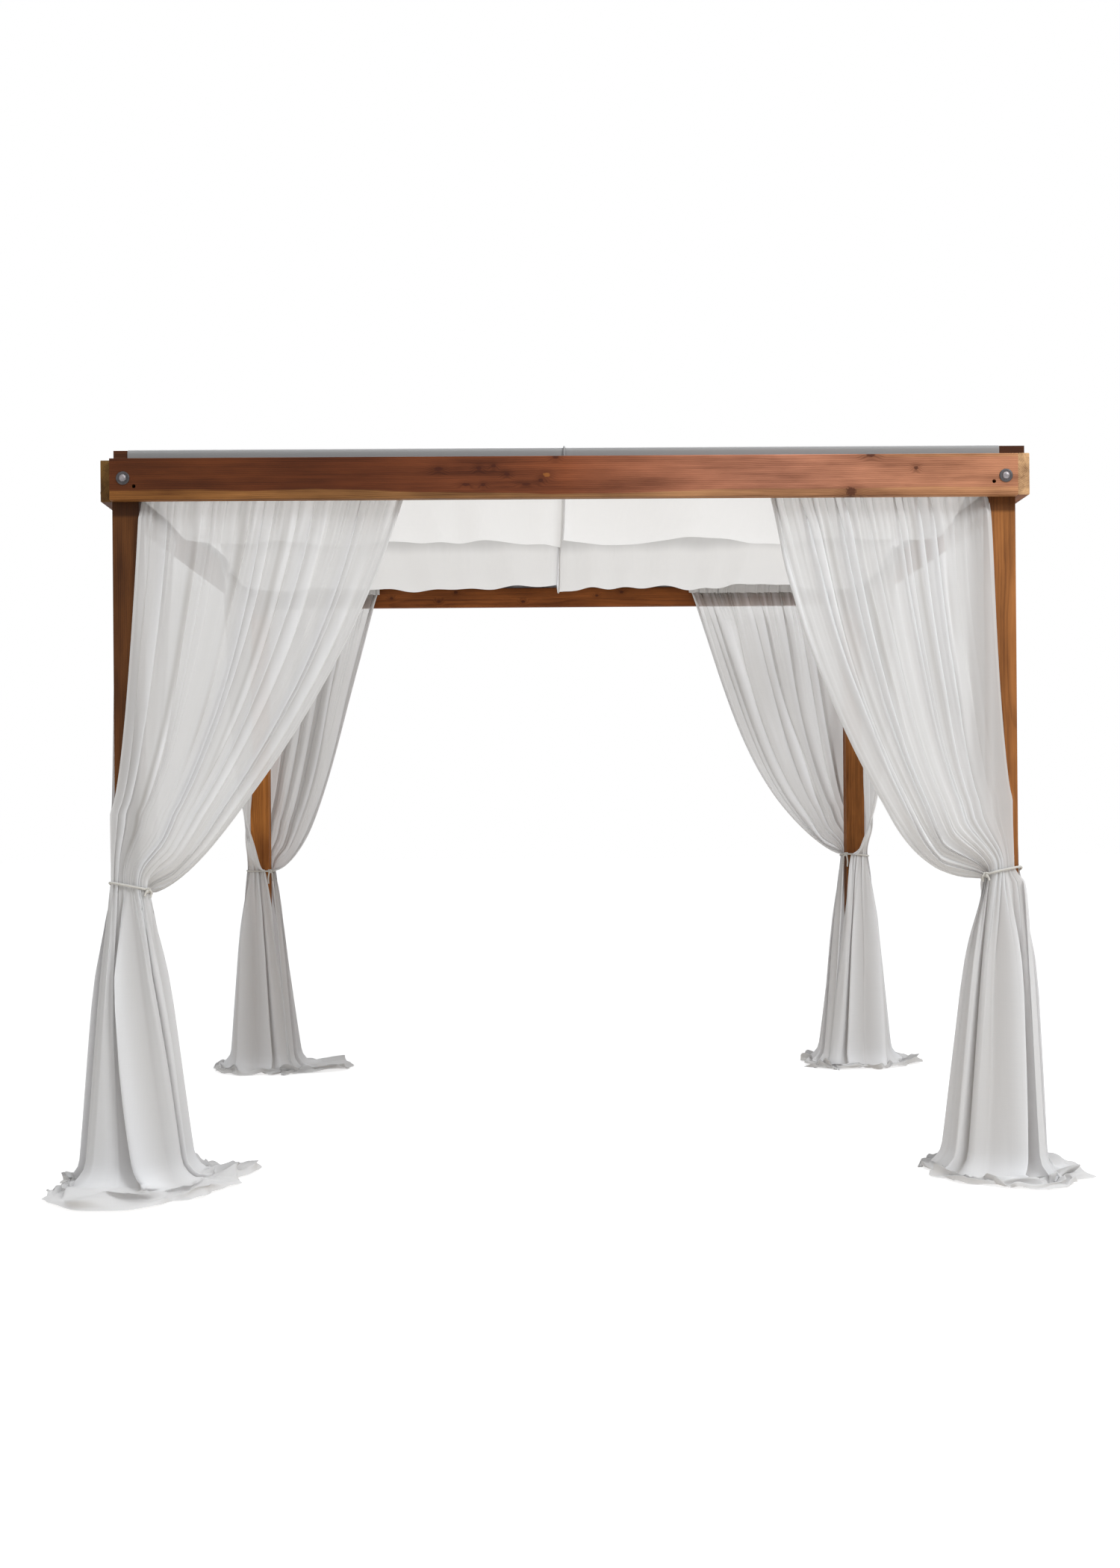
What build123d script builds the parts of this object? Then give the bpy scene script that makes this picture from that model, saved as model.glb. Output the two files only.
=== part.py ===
from build123d import *
from collections import namedtuple
from math import cos, pi, sin, sqrt
import os

# Draped cabana: four timber posts under a ring of beams, cross battens that carry a cloth ceiling in two
# swags, and a pair of curtains at every corner that hang from rods inside the beams, are tied to the post
# and spread on the ground.
# Millimetres. X runs from left to right, Y from the front to the back and Z up. The origin is on the
# ground under the middle of the frame.

os.makedirs("parts", exist_ok=True)

# Timber frame
frame_width = 3048.0          # over the outer faces of the posts, left to right
frame_depth = 3010.0          # over the outer faces of the posts, front to back
post_side = 89.0
post_height = 2438.0
beam_thickness = 38.0
beam_depth = 140.0
batten_side = 38.0
edge_ease = 3.0               # rounding of the long edges of the posts and beams
batten_ease = 2.0

# Empty bolt holes in the front beam
spare_hole_diameter = 13.0
spare_hole_inset = 81.0       # from the post's outer face
spare_hole_drop = 94.0        # below the beam's top

# Curtain rods
rod_diameter = 25.0
rod_inset = 32.0              # from the beam's inner face to the rod's axis
rod_drop = 38.0               # below the beam's top

# Curtain cloth
cloth_clearance = 0.3         # between cloth and whatever carries it
seam_gap = 0.6                # between the two curtains of a corner
heading_height = 18.0         # cloth standing above the rod's axis
gather_depth = 27.0           # cloth on each side of the rod's axis at the top
outer_bulge = 22.0            # cloth in front of the post's face half way down
sweep_power = 0.52            # how steeply the free edge swoops to the tie
neck_lap = 14.0               # cloth in front of the post's outer faces at the tie
neck_wrap = 25.0              # cloth beside the post's inner faces at the tie
neck_band = 30.0              # height of the straight band under the cord
bare_corner = 17.0            # width of the post's inner corner that stays bare at the tie
bare_drop = 115.0             # how far the bare corner runs below the band
skirt_spread = 112.0          # growth of the skirt's half width from the tie to the ground
skirt_shift = 20.0            # how far the skirt's middle moves inwards on its way down
skirt_cut = 50.0              # cut corners of the skirt at the ground
neck_cut = 8.0                # cut corners of the bundle at the tie
edge_steps = 9                # straight steps down the free edge
puddle_height = 48.0
puddle_top = 0.72             # size of the puddle's flat top against its outline
puddle_sides = 20

# Tie cords
cord_diameter = 8.0

# Ceiling cloth
ceiling_thickness = 8.0
ceiling_side_gap = 74.0       # between the cloth and the side beams
ceiling_slit = 8.0            # gap between the left and right panels
front_swag_drop = 188.0       # below the battens' top
back_swag_drop = 178.0
ceiling_lap = 34.0            # how far the cloth hangs down the outer face of the end battens

# One entry for each corner: the height of its tie, how far its two curtains reach from the post's outer
# face along their rods, and how far the cloth spreads on the ground from the post's middle.
Corner = namedtuple("Corner", "left front tie end_reach side_reach out_x in_x out_y in_y")
corners = {
    "front_left": Corner(True, True, 1006.0, 985.0, 960.0, 285.0, 395.0, 500.0, 310.0),
    "front_right": Corner(False, True, 1036.0, 850.0, 980.0, 285.0, 225.0, 290.0, 300.0),
    "back_left": Corner(True, False, 989.0, 645.0, 900.0, 245.0, 455.0, 345.0, 245.0),
    "back_right": Corner(False, False, 1034.0, 836.0, 1060.0, 325.0, 220.0, 475.0, 215.0),
}

# Places that follow from the sizes above
half_width = frame_width / 2
half_depth = frame_depth / 2
beam_bottom = post_height - beam_depth
batten_top = post_height + batten_side
rod_height = post_height - rod_drop
rod_radius = rod_diameter / 2
post_middle = post_side / 2
cloth_top = rod_height + heading_height
post_limit = post_side + cloth_clearance
neck_far = post_side + neck_wrap
BOTTOM = (Align.MIN, Align.MIN, Align.MIN)


def bar(low, high, ease, axis):
    """A length of timber between two corners, with its long edges rounded."""
    size = [b - a for a, b in zip(low, high)]
    stick = Pos(*low) * Box(*size, align=BOTTOM)
    return fillet(stick.edges().filter_by(axis), ease)


def post(left, front):
    """A post standing on the ground in one corner of the frame."""
    x = -half_width if left else half_width - post_side
    y = -half_depth if front else half_depth - post_side
    return bar((x, y, 0), (x + post_side, y + post_side, post_height), edge_ease, Axis.Z)


def end_beam(front):
    """The beam across the front or the back, lying on the outer faces of its two posts."""
    y = -half_depth - beam_thickness if front else half_depth
    beam = bar(
        (-half_width, y, beam_bottom),
        (half_width, y + beam_thickness, post_height),
        edge_ease,
        Axis.X,
    )
    if not front:
        return beam
    hole = Cylinder(spare_hole_diameter / 2, 3 * beam_thickness, rotation=(90, 0, 0))
    for side in (-1, 1):
        x = side * (half_width - spare_hole_inset)
        beam -= Pos(x, y + beam_thickness / 2, post_height - spare_hole_drop) * hole
    return beam


def side_beam(left):
    """The beam along one side. It covers one end beam's end grain and stops flush with the other."""
    x = -half_width - beam_thickness if left else half_width
    front_end = -half_depth - (0 if left else beam_thickness)
    back_end = half_depth + (beam_thickness if left else 0)
    return bar(
        (x, front_end, beam_bottom),
        (x + beam_thickness, back_end, post_height),
        edge_ease,
        Axis.Y,
    )


def batten(y, left_end, right_end):
    """A cross batten lying on the beams or the post tops, centred on y."""
    low = (left_end, y - batten_side / 2, post_height)
    high = (right_end, y + batten_side / 2, batten_top)
    return bar(low, high, batten_ease, Axis.X)


def end_rod(front):
    """The curtain rod inside the front or back beam, butted between the posts."""
    y = (half_depth - rod_inset) * (-1 if front else 1)
    length = frame_width - 2 * post_side
    return Pos(0, y, rod_height) * Cylinder(rod_radius, length, rotation=(0, 90, 0))


def side_rod(left):
    """The curtain rod inside a side beam, butted between the posts."""
    x = (half_width - rod_inset) * (-1 if left else 1)
    length = frame_depth - 2 * post_side
    return Pos(x, 0, rod_height) * Cylinder(rod_radius, length, rotation=(90, 0, 0))


# A corner's cloth is drawn with the post's outer corner at the origin, x running inwards along the
# curtain's own rod and y running inwards across it. place() then moves it to its corner of the frame.


def place(shape, corner):
    if not corner.left:
        shape = mirror(shape, Plane.YZ)
    if not corner.front:
        shape = mirror(shape, Plane.XZ)
    x = -half_width if corner.left else half_width
    y = -half_depth if corner.front else half_depth
    return Pos(x, y, 0) * shape


def free_edge(reach, band_top):
    """Points down the free edge: a power curve from the rod to the tie, closest where it turns most."""
    for step in range(edge_steps + 1):
        share = (1 - step / edge_steps) ** 2
        x = neck_far + (reach - neck_far) * share**sweep_power
        yield (x, band_top + (cloth_top - band_top) * share)


def sweep_solid(reach, tie):
    """The cloth from the rod to the tie: its front outline crossed with its side outline."""
    band_top = tie + neck_band / 2
    face_top = beam_bottom - edge_ease
    rise = face_top - band_top
    outer = [
        (-neck_lap, band_top),
        (-neck_lap, band_top + 0.17 * rise),
        (post_middle, band_top + 0.48 * rise),
        (post_limit, face_top),
        (post_limit, cloth_top),
    ]
    front = Plane.XZ * make_face(Polyline(*free_edge(reach, band_top), *outer, close=True))
    near = rod_inset - gather_depth
    far = rod_inset + gather_depth
    side = Plane.YZ * make_face(
        Polyline(
            (near, cloth_top),
            (far, cloth_top),
            (far, band_top),
            (-neck_lap, band_top),
            (-outer_bulge, band_top + 0.5 * rise),
            (near, face_top),
            close=True,
        )
    )
    return extrude(front, 2 * neck_far, both=True) & extrude(side, 2 * reach)


def cut_square(middle, half, cut, height):
    """A level square with cut corners round the post."""
    low, high = middle - half, middle + half
    points = [
        (low + cut, low),
        (high - cut, low),
        (high, low + cut),
        (high, high - cut),
        (high - cut, high),
        (low + cut, high),
        (low, high - cut),
        (low, low + cut),
    ]
    return Pos(0, 0, height) * make_face(Polyline(*points, close=True))


def skirt_solid(tie):
    """The band under the cord and the skirt below it, around the post."""
    middle = (neck_far - neck_lap) / 2
    half = (neck_far + neck_lap) / 2
    low = tie - neck_band / 2
    band = extrude(cut_square(middle, half, neck_cut, low), neck_band)
    rings = [
        cut_square(
            middle + skirt_shift * share,
            half + skirt_spread * share**0.85,
            neck_cut + (skirt_cut - neck_cut) * share,
            low * (1 - share),
        )
        for share in (0, 0.35, 0.7, 1)
    ]
    return band + loft(rings, ruled=True)


def bare_wedge(tie):
    """The space in front of the post's inner corner, where the curtains part above the skirt."""
    start = post_side - bare_corner
    reach = 2 * neck_far
    low = tie - neck_band / 2
    step = skirt_spread
    top = Pos(start + reach / 2, start + reach / 2, low) * Rectangle(reach, reach)
    bottom = Pos(step + start + reach / 2, step + start + reach / 2, low - bare_drop) * Rectangle(reach, reach)
    block = Pos(start, start, low) * Box(reach, reach, post_height, align=BOTTOM)
    return block + loft([top, bottom], ruled=True)


def puddle_solid(corner):
    """The cloth on the ground: a low pad, a quarter of an ellipse towards each pair of sides."""

    def outline(scale, height):
        points = []
        for step in range(puddle_sides):
            angle = 2 * pi * (step + 0.5) / puddle_sides
            x = cos(angle) * (corner.in_x if cos(angle) > 0 else corner.out_x)
            y = sin(angle) * (corner.in_y if sin(angle) > 0 else corner.out_y)
            points.append((post_middle + scale * x, post_middle + scale * y))
        return Pos(0, 0, height) * make_face(Polyline(*points, close=True))

    return loft([outline(1, 0), outline(puddle_top, puddle_height)], ruled=True)


def curtain(corner, reach):
    """One curtain of a corner, hanging from the rod that runs along x."""
    cloth = sweep_solid(reach, corner.tie) + skirt_solid(corner.tie) + puddle_solid(corner)
    room = 4 * reach
    half = Rot(0, 0, -45) * Pos(0, -seam_gap / 2, 0) * Box(
        2 * room, room, room, align=(Align.CENTER, Align.MAX, Align.MIN)
    )
    half = Rot(0, 0, 90) * half
    cloth &= half
    cloth -= bare_wedge(corner.tie)
    core = Pos(-cloth_clearance, -cloth_clearance, 0) * Box(
        post_side + 2 * cloth_clearance, post_side + 2 * cloth_clearance, post_height, align=BOTTOM
    )
    cloth -= core
    pocket = Pos(0, rod_inset, rod_height) * Cylinder(
        rod_radius + cloth_clearance, room, rotation=(0, 90, 0)
    )
    return cloth - pocket


def across(shape):
    """The same cloth for the rod that runs along y: x and y change places."""
    return mirror(shape, Plane(origin=(0, 0, 0), z_dir=(1, -1, 0)))


def tie_cord(tie):
    """A cord drawn round the post and both curtains, straight across the post's bare corner."""
    out = cord_diameter / 2 + cloth_clearance
    low, high = -neck_lap - out, neck_far + out
    cut = neck_cut + out * (2 - sqrt(2))
    bare = post_side - bare_corner + out * (sqrt(2) - 1)
    points = [
        (low + cut, low),
        (high - cut, low),
        (high, low + cut),
        (high, bare),
        (bare, high),
        (low + cut, high),
        (low, high - cut),
        (low, low + cut),
    ]
    path = Pos(0, 0, tie) * Polyline(*points, close=True)
    first = path.edges()[0]
    section = Plane(origin=first @ 0.5, z_dir=first % 0.5) * RegularPolygon(cord_diameter / 2, 8)
    return sweep(section, path=path, transition=Transition.RIGHT)


def ceiling(left):
    """One cloth panel: over the front batten, down in a swag, over the middle and the back ones."""
    end = half_depth - post_middle
    over = batten_top + cloth_clearance
    half = batten_side / 2
    outside = end + half + cloth_clearance
    hem = batten_top - ceiling_lap
    lift = ceiling_thickness

    def swags(rise):
        return (
            ThreePointArc(
                (-end + half, over + rise),
                (-end / 2, over - front_swag_drop + rise),
                (-half, over + rise),
            )
            + Line((-half, over + rise), (half, over + rise))
            + ThreePointArc(
                (half, over + rise),
                (end / 2, over - back_swag_drop + rise),
                (end - half, over + rise),
            )
        )

    profile = make_face(
        swags(0)
        + Polyline(
            (end - half, over),
            (outside, over),
            (outside, hem),
            (outside + lift, hem),
            (outside + lift, over + lift),
            (end - half, over + lift),
        )
        + swags(lift)
        + Polyline(
            (-end + half, over + lift),
            (-outside - lift, over + lift),
            (-outside - lift, hem),
            (-outside, hem),
            (-outside, over),
            (-end + half, over),
        )
    )
    edge = half_width - ceiling_side_gap
    width = edge - ceiling_slit / 2
    x = -edge if left else ceiling_slit / 2
    return Pos(x, 0, 0) * extrude(Plane.YZ * profile, width)


def build():
    """Every sub-part of the cabana by its node name."""
    outer = half_width + beam_thickness
    end = half_depth - post_middle
    parts = {
        "front_beam": end_beam(True),
        "back_beam": end_beam(False),
        "left_beam": side_beam(True),
        "right_beam": side_beam(False),
        "front_batten": batten(-end, -half_width, outer),
        "middle_batten": batten(0, -outer, outer),
        "back_batten": batten(end, -outer, half_width),
        "front_rod": end_rod(True),
        "back_rod": end_rod(False),
        "left_rod": side_rod(True),
        "right_rod": side_rod(False),
        "ceiling_left": ceiling(True),
        "ceiling_right": ceiling(False),
    }
    for name, corner in corners.items():
        turned = corner._replace(
            out_x=corner.out_y, in_x=corner.in_y, out_y=corner.out_x, in_y=corner.in_x
        )
        end_cloth = curtain(corner, corner.end_reach)
        side_cloth = across(curtain(turned, corner.side_reach))
        end_name = name.split("_")[0]
        parts[name + "_post"] = post(corner.left, corner.front)
        parts[f"{name}_{end_name}_curtain"] = place(end_cloth, corner)
        parts[name + "_side_curtain"] = place(side_cloth, corner)
        parts[name + "_tie"] = place(tie_cord(corner.tie), corner)
    return parts


for node, shape in build().items():
    export_step(shape, f"parts/{node}.step")
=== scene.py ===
"""The finish of a draped cabana: stained timber, gathered curtains, a swagged ceiling, cords and bolts.

Everything is in metres in the frame's own axes: X to the right, Y from the front to the back, Z up.
"""
import math
from collections import namedtuple

import bpy
import numpy as np
from mathutils import Matrix, Vector


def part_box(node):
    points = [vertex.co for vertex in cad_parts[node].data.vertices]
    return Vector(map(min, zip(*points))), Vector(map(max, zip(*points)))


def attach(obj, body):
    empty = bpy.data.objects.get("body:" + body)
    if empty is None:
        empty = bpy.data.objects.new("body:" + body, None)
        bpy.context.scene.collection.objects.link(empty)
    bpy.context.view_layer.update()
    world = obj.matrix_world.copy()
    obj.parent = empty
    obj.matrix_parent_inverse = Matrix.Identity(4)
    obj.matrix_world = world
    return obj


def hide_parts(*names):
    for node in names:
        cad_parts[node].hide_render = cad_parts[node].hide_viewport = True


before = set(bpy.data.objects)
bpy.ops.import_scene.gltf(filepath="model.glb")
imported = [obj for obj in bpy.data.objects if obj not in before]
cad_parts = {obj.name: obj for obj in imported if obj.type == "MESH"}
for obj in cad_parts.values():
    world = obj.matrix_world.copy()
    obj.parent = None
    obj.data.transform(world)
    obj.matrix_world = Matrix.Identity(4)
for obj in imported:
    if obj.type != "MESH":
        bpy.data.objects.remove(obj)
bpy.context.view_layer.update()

bl_info = {
    "name": "Draped cabana",
    "version": (1, 0, 0),
    "blender": (4, 5, 0),
    "location": "3D View > Sidebar > Cabana",
    "description": "Finishes a timber cabana with curtains, a cloth ceiling, tie cords and bolts",
    "category": "Object",
}

BODY = "root"
TURN = 2 * np.pi

# The corners: how far a skirt spreads past its post's outer side at the ground, how far the tie is tilted
# along the corner's diagonal, which way its knot faces, and how far it is pressed in at the post's outer
# corner
Corner = namedtuple("Corner", "skirt tilt knot pinch")

CORNERS = {
    "front_left": Corner(0.075, 0.2, -0.62, 0.0),
    "front_right": Corner(0.025, 0.22, -0.62, 0.14),
    "back_left": Corner(0.07, 0.02, 0.785, 0.0),
    "back_right": Corner(0.095, -0.09, 0.785, 0.0),
}

# Places read from the frame
POST_LOW, POST_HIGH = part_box("front_left_post")
POST_SIDE = POST_HIGH.x - POST_LOW.x
BEAM_LOW, BEAM_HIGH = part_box("front_beam")
BEAM_BOTTOM = BEAM_LOW.z
BEAM_TOP = BEAM_HIGH.z
ROD_LOW, ROD_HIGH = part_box("front_rod")
ROD_RADIUS = (ROD_HIGH.z - ROD_LOW.z) / 2
ROD_HEIGHT = (ROD_HIGH.z + ROD_LOW.z) / 2
ROD_INSET = (ROD_HIGH.y + ROD_LOW.y) / 2 - POST_LOW.y
ROD_FACE = ROD_INSET - ROD_RADIUS
BATTEN_LOW, BATTEN_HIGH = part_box("front_batten")
HALF_WIDTH = -POST_LOW.x
HALF_DEPTH = -POST_LOW.y


# Numpy shapes

# Frequencies of a wandering curve, and how many sines a curve and a surface add up
WANDER_RANGE = (0.6, 2.6)
WANDER_WAVES = 6
DRIFT_WAVES = 8

# Where the painted shade in the crease beside a crest lies, in radians from it, how narrow it is and how dark
LEE_TURN = 0.95
LEE_SHARP = 14.0
LEE_SHADE_DEPTH = 1.1

# How far cloth stays off a post, how softly it is pushed out of it, and the most that it is pushed
POST_MARGIN = 0.002
POST_SOFTNESS = 0.0015
POST_PUSH = 0.1

# Columns of a rolled hem, and how far round it rolls
HEM_COLUMNS = 7
HEM_TURNS = 0.8


def smoothstep(low, high, x):
    """0 below low and 1 above high, with an S-shaped cubic between them."""
    t = np.clip((x - low) / (high - low), 0.0, 1.0)
    return t * t * (3 - 2 * t)


def mix(a, b, t):
    """a where t is 0, b where t is 1, and a straight line between them."""
    return a + (b - a) * t


def bell(x, middle, width):
    """1 at the middle, dying away on both sides as the exponential of minus the square of the distance."""
    return np.exp(-(((x - middle) / width) ** 2))


def soft_floor(x, floor, softness):
    """x where it is well above floor, and never below it: a log of summed exponentials rounds the turn."""
    return floor + softness * np.logaddexp(0.0, (x - floor) / softness)


def unit(vectors):
    """Rows of vectors at length 1."""
    return vectors / np.linalg.norm(vectors, axis=1, keepdims=True)


def run_along(points):
    """The distance from the first of a row of points to each of them, along the line through them."""
    return np.concatenate([[0], np.cumsum(np.linalg.norm(np.diff(points, axis=0), axis=1))])


def wander(x, seed):
    """An irregular curve of about -1 to 1: sines of x whose frequencies and phases come from the seed."""
    rng = np.random.default_rng(seed)
    total = np.zeros_like(np.asarray(x, float))
    waves = rng.uniform(*WANDER_RANGE, WANDER_WAVES), rng.uniform(0, TURN, WANDER_WAVES)
    for frequency, phase in zip(*waves):
        total = total + np.sin(TURN * frequency * x + phase)
    return total / math.sqrt(WANDER_WAVES)


def drift(x, y, seed, across=3.0, along=2.0):
    """An irregular surface of about -1 to 1: slanting sines of x and y chosen by the seed."""
    rng = np.random.default_rng(seed)
    total = 0.0
    for _ in range(DRIFT_WAVES):
        fx, fy = rng.uniform(-across, across), rng.uniform(-along, along)
        total = total + np.sin(TURN * (fx * x + fy * y) + rng.uniform(0, TURN))
    return total / math.sqrt(DRIFT_WAVES)


def gathers(a, level, count, seed):
    """Fine gathers: a sine of a whose spacing, height and phase wander, with a weaker second harmonic.

    Returns how far the cloth stands out from its line, and how far it slips along it, both for height 1.
    """
    warped = a + 0.42 / count * wander(a * count * 0.33, seed)
    phase = TURN * count * warped + 1.1 * drift(a, level, seed + 1, 2.0, 0.5)
    height = 0.75 + 0.36 * wander(a * count * 0.4, seed + 2) + 0.2 * drift(a, level, seed + 3)
    height = np.clip(height, 0.1, 1.5)
    return height * (np.sin(phase) + 0.24 * np.sin(2 * phase + 0.8)), height * np.sin(2 * phase)


def ridges(a, level, count, seed, sharp, lean):
    """Folds with smooth valleys and crests that fall to one side.

    A crest is the power sharp of a raised cosine whose phase runs count times over a, with wandering
    spacing and height. It is carried sideways by lean, in shares of a fold's width, so that its one flank
    is steep or hangs over. Returns how far the cloth stands out from its line and slips along it, in
    shares of a fold's width, and the fold's tone: 1 on the crest, where the cloth lies in two layers and
    takes a painted highlight, and below 0 for painted shade in the crease on its steep side.
    """
    warped = a + 0.45 / count * wander(a * count * 0.3, seed) + 0.1 / count * drift(a * 2, level, seed + 1)
    height = 0.85 + 0.35 * wander(a * count * 0.35, seed + 2) + 0.15 * drift(a, level, seed + 3)
    height = np.clip(height, 0.2, 1.5)
    phase = TURN * count * warped
    crest = (0.5 + 0.5 * np.cos(phase)) ** sharp
    # Painted shade in a narrow crease beside the crest, on the side it leans to
    lee_shade = np.exp(LEE_SHARP * (np.cos(phase - math.copysign(LEE_TURN, lean)) - 1))
    return height * crest, height * crest * lean, height * (crest - LEE_SHADE_DEPTH * lee_shade)


def lapped(a, h, seed):
    """The broad folds of a skirt: raised cosines at the places of SKIRT_FOLDS, each falling its own way.

    The places drift a little with the height, by amounts that the seed chooses. Returns the same three
    values as ridges, with the whole width as the measure.
    """
    rng = np.random.default_rng(seed)
    out, slip, tone = 0.0, 0.0, 0.0
    for place, width, height, fall in SKIRT_FOLDS:
        place = place + rng.uniform(-0.015, 0.015) + rng.uniform(-0.03, 0.03) * (h - 0.5)
        height = height * rng.uniform(0.85, 1.15)
        beside = (a - place) / width
        crest = height * 0.5 * (1 + np.cos(np.pi * np.clip(beside, -1, 1)))
        # Painted highlight on each crest and painted shade in the crease on the side that the fold falls to
        crease = bell(beside * np.sign(fall), 0.85, 0.22)
        out, slip = out + crest, slip + crest * fall
        tone = tone + 8 * (crest - height * LEE_SHADE_DEPTH * abs(fall) * crease)
    return out, slip, tone


def ell_path(q, start, face, side, end, radius):
    """A path round one corner of a post: along its outer face, round the corner and along its inner side.

    It runs at y = face from x = start to x = side, then at x = side up to y = end, with the corner
    rounded. Returns x, y and the outward normal for the share q of its length.
    """
    first = side - start - radius
    arc = radius * np.pi / 2
    second = end - face - radius
    s = q * (first + arc + second)
    turn = np.clip((s - first) / arc, 0, 1) * np.pi / 2
    x = start + np.minimum(s, first) + radius * np.sin(turn)
    y = face + radius * (1 - np.cos(turn)) + np.maximum(s - first - arc, 0)
    return x, y, np.sin(turn), -np.cos(turn)


def turned_normal(start, end, share):
    """The normal between two paths' normals, at length 1."""
    x, y = mix(start[0], end[0], share), mix(start[1], end[1], share)
    size = np.hypot(x, y)
    return x / size, y / size


def shifted(x, y, nx, ny, out, slip):
    """Places moved out along their normals and slipped along their line."""
    return x + nx * out - ny * slip, y + ny * out + nx * slip


def clear_of_post(x, y, nx, ny):
    """Pushes points out of a post along the normal until they are past its nearer face, with a soft turn."""
    through_side = (POST_SIDE + POST_MARGIN - x) / np.maximum(nx, 1e-4)
    through_face = (y + POST_MARGIN) / np.maximum(-ny, 1e-4)
    push = soft_floor(np.minimum(through_side, through_face), 0.0, POST_SOFTNESS)
    push = np.where(push > POST_PUSH, 0.0, push)
    return x + nx * push, y + ny * push


def edge_roll(points, radius):
    """Adds a rolled hem after the last column: a circle of a radius, begun along the cloth's own line."""
    tangent = unit(points[:, -1] - points[:, -3])
    normal = unit(np.cross(tangent, np.gradient(points[:, -1], axis=0)))
    angle = np.linspace(0, TURN * HEM_TURNS, HEM_COLUMNS + 1)[1:]
    along = radius * np.sin(angle)[None, :, None] * tangent[:, None]
    aside = radius * (1 - np.cos(angle))[None, :, None] * normal[:, None]
    return np.concatenate([points, points[:, -1:] + along + aside], axis=1)


def cloth_map(width, columns, along):
    """The place of each point of a sheet on the flat cloth, in metres."""
    return np.stack(np.meshgrid(np.linspace(0, width, columns), along), axis=-1)


def quads_of(rows, columns, start=0, loop=False):
    """The corner numbers of a grid's quads. loop joins the last column to the first."""
    index = start + np.arange(rows * columns).reshape(rows, columns)
    right = np.roll(index, -1, axis=1) if loop else index[:, 1:]
    left = index if loop else index[:, :-1]
    return np.stack([left[:-1], right[:-1], right[1:], left[1:]], axis=-1).reshape(-1, 4)


def mesh_object(name, grids, loop, material, flip, uv=None, **values):
    """A smooth object from grids, each an array of rows and columns of points.

    loop closes their columns, flip turns their faces round, uv is the one grid's map, and values become
    attributes of the points.
    """
    points = np.concatenate([grid.reshape(-1, 3) for grid in grids])
    quads, start = [], 0
    for grid in grids:
        quads.append(quads_of(*grid.shape[:2], start, loop))
        start += grid.shape[0] * grid.shape[1]
    quads = np.concatenate(quads)
    if flip:
        quads = quads[:, ::-1]
    mesh = bpy.data.meshes.new(name)
    mesh.from_pydata(points, [], quads)
    mesh.shade_smooth()
    if uv is not None:
        layer = mesh.uv_layers.new(name="cloth")
        layer.data.foreach_set("uv", uv.reshape(-1, 2)[quads.ravel()].ravel())
    for key, array in values.items():
        attribute = mesh.attributes.new(key, "FLOAT", "POINT")
        attribute.data.foreach_set("value", np.ascontiguousarray(array, np.float32).ravel())
    mesh.materials.append(material)
    piece = bpy.data.objects.new(name, mesh)
    bpy.context.scene.collection.objects.link(piece)
    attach(piece, BODY)
    return piece


def to_corner(points, corner, swap=False):
    """Moves points drawn with the post's outer corner at the origin to their corner of the frame.

    swap first exchanges x and y, for what hangs from the side rods.
    """
    x, y = points[..., 0], points[..., 1]
    if swap:
        x, y = y, x
    x = x - HALF_WIDTH if "left" in corner else HALF_WIDTH - x
    y = y - HALF_DEPTH if "front" in corner else HALF_DEPTH - y
    return np.stack([x, y, points[..., 2]], axis=-1)


def turned_round(corner, swap=False):
    """Whether to_corner leaves the faces of a grid pointing inwards."""
    return ("left" in corner) ^ ("front" in corner) ^ swap ^ True


# Curtains

# The eight curtains, each with the seed of its folds. reach is how far it runs along its rod from the
# post's outer face, and bend gives the power that shapes its free edge. spread says how far it lies out
# on the ground from the post's middle: out and in along its own rod, then out and in across it. points
# are the pointed corners there: direction in degrees from its own rod towards the room, how far the
# corner stands out, and its width in degrees. lap is how far it wraps past the post's outer corner at the
# tie, calm the share of its width beside the post that hangs nearly flat, and lean the way its folds
# fall. hem is how thick its rolled edge is beside the others', and swing is the power that draws a
# skirt's folds to its free edge on the way down.
Drape = namedtuple(
    "Drape",
    "corner kind seed reach bend spread points lap calm lean hem swing",
    defaults=(0.014, 0.03, 1, 1, 1),
)
SIDE_LAP = 0.007

DRAPES = (
    Drape("front_left", "end", 11, 0.99, (0.663, -0.171, -0.111), (0.245, 0.395, 0.49, 0.33),
          ((27, 0.085, 14), (-82, 0.03, 16), (-120, 0.02, 12)), swing=1.6),
    Drape("front_left", "side", 12, 0.96, (0.5, 0.05, 0), (0.49, 0.33, 0.235, 0.38),
          ((-130, 0.03, 14), (20, 0.02, 12)), SIDE_LAP),
    Drape("front_right", "end", 13, 0.84, (0.445, 0.026, -0.152), (0.27, 0.22, 0.285, 0.31),
          ((55, 0.04, 14), (-100, 0.05, 16), (-140, 0.02, 10)), -0.022, calm=0.22, lean=-1, hem=2.4),
    Drape("front_right", "side", 14, 0.98, (0.45, 0.05, 0), (0.285, 0.31, 0.27, 0.22),
          ((-100, 0.04, 14), (-60, 0.02, 14)), -0.05, lean=-1),
    Drape("back_left", "end", 15, 0.638, (0.552, 0.09, 0.197), (0.24, 0.45, 0.335, 0.24),
          ((2, 0.03, 16), (-60, 0.03, 14))),
    Drape("back_left", "side", 16, 0.9, (0.45, 0.1, 0), (0.335, 0.24, 0.235, 0.445),
          ((-90, 0.03, 14), (40, 0.02, 14)), SIDE_LAP),
    Drape("back_right", "end", 17, 0.86, (0.62, -0.42, 0.48), (0.315, 0.215, 0.465, 0.21),
          ((30, 0.02, 16), (-110, 0.03, 14)), lean=-1),
    Drape("back_right", "side", 18, 1.04, (0.4, 0.05, 0), (0.465, 0.21, 0.315, 0.215),
          ((-80, 0.04, 14), (-30, 0.02, 12)), SIDE_LAP),
)

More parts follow.
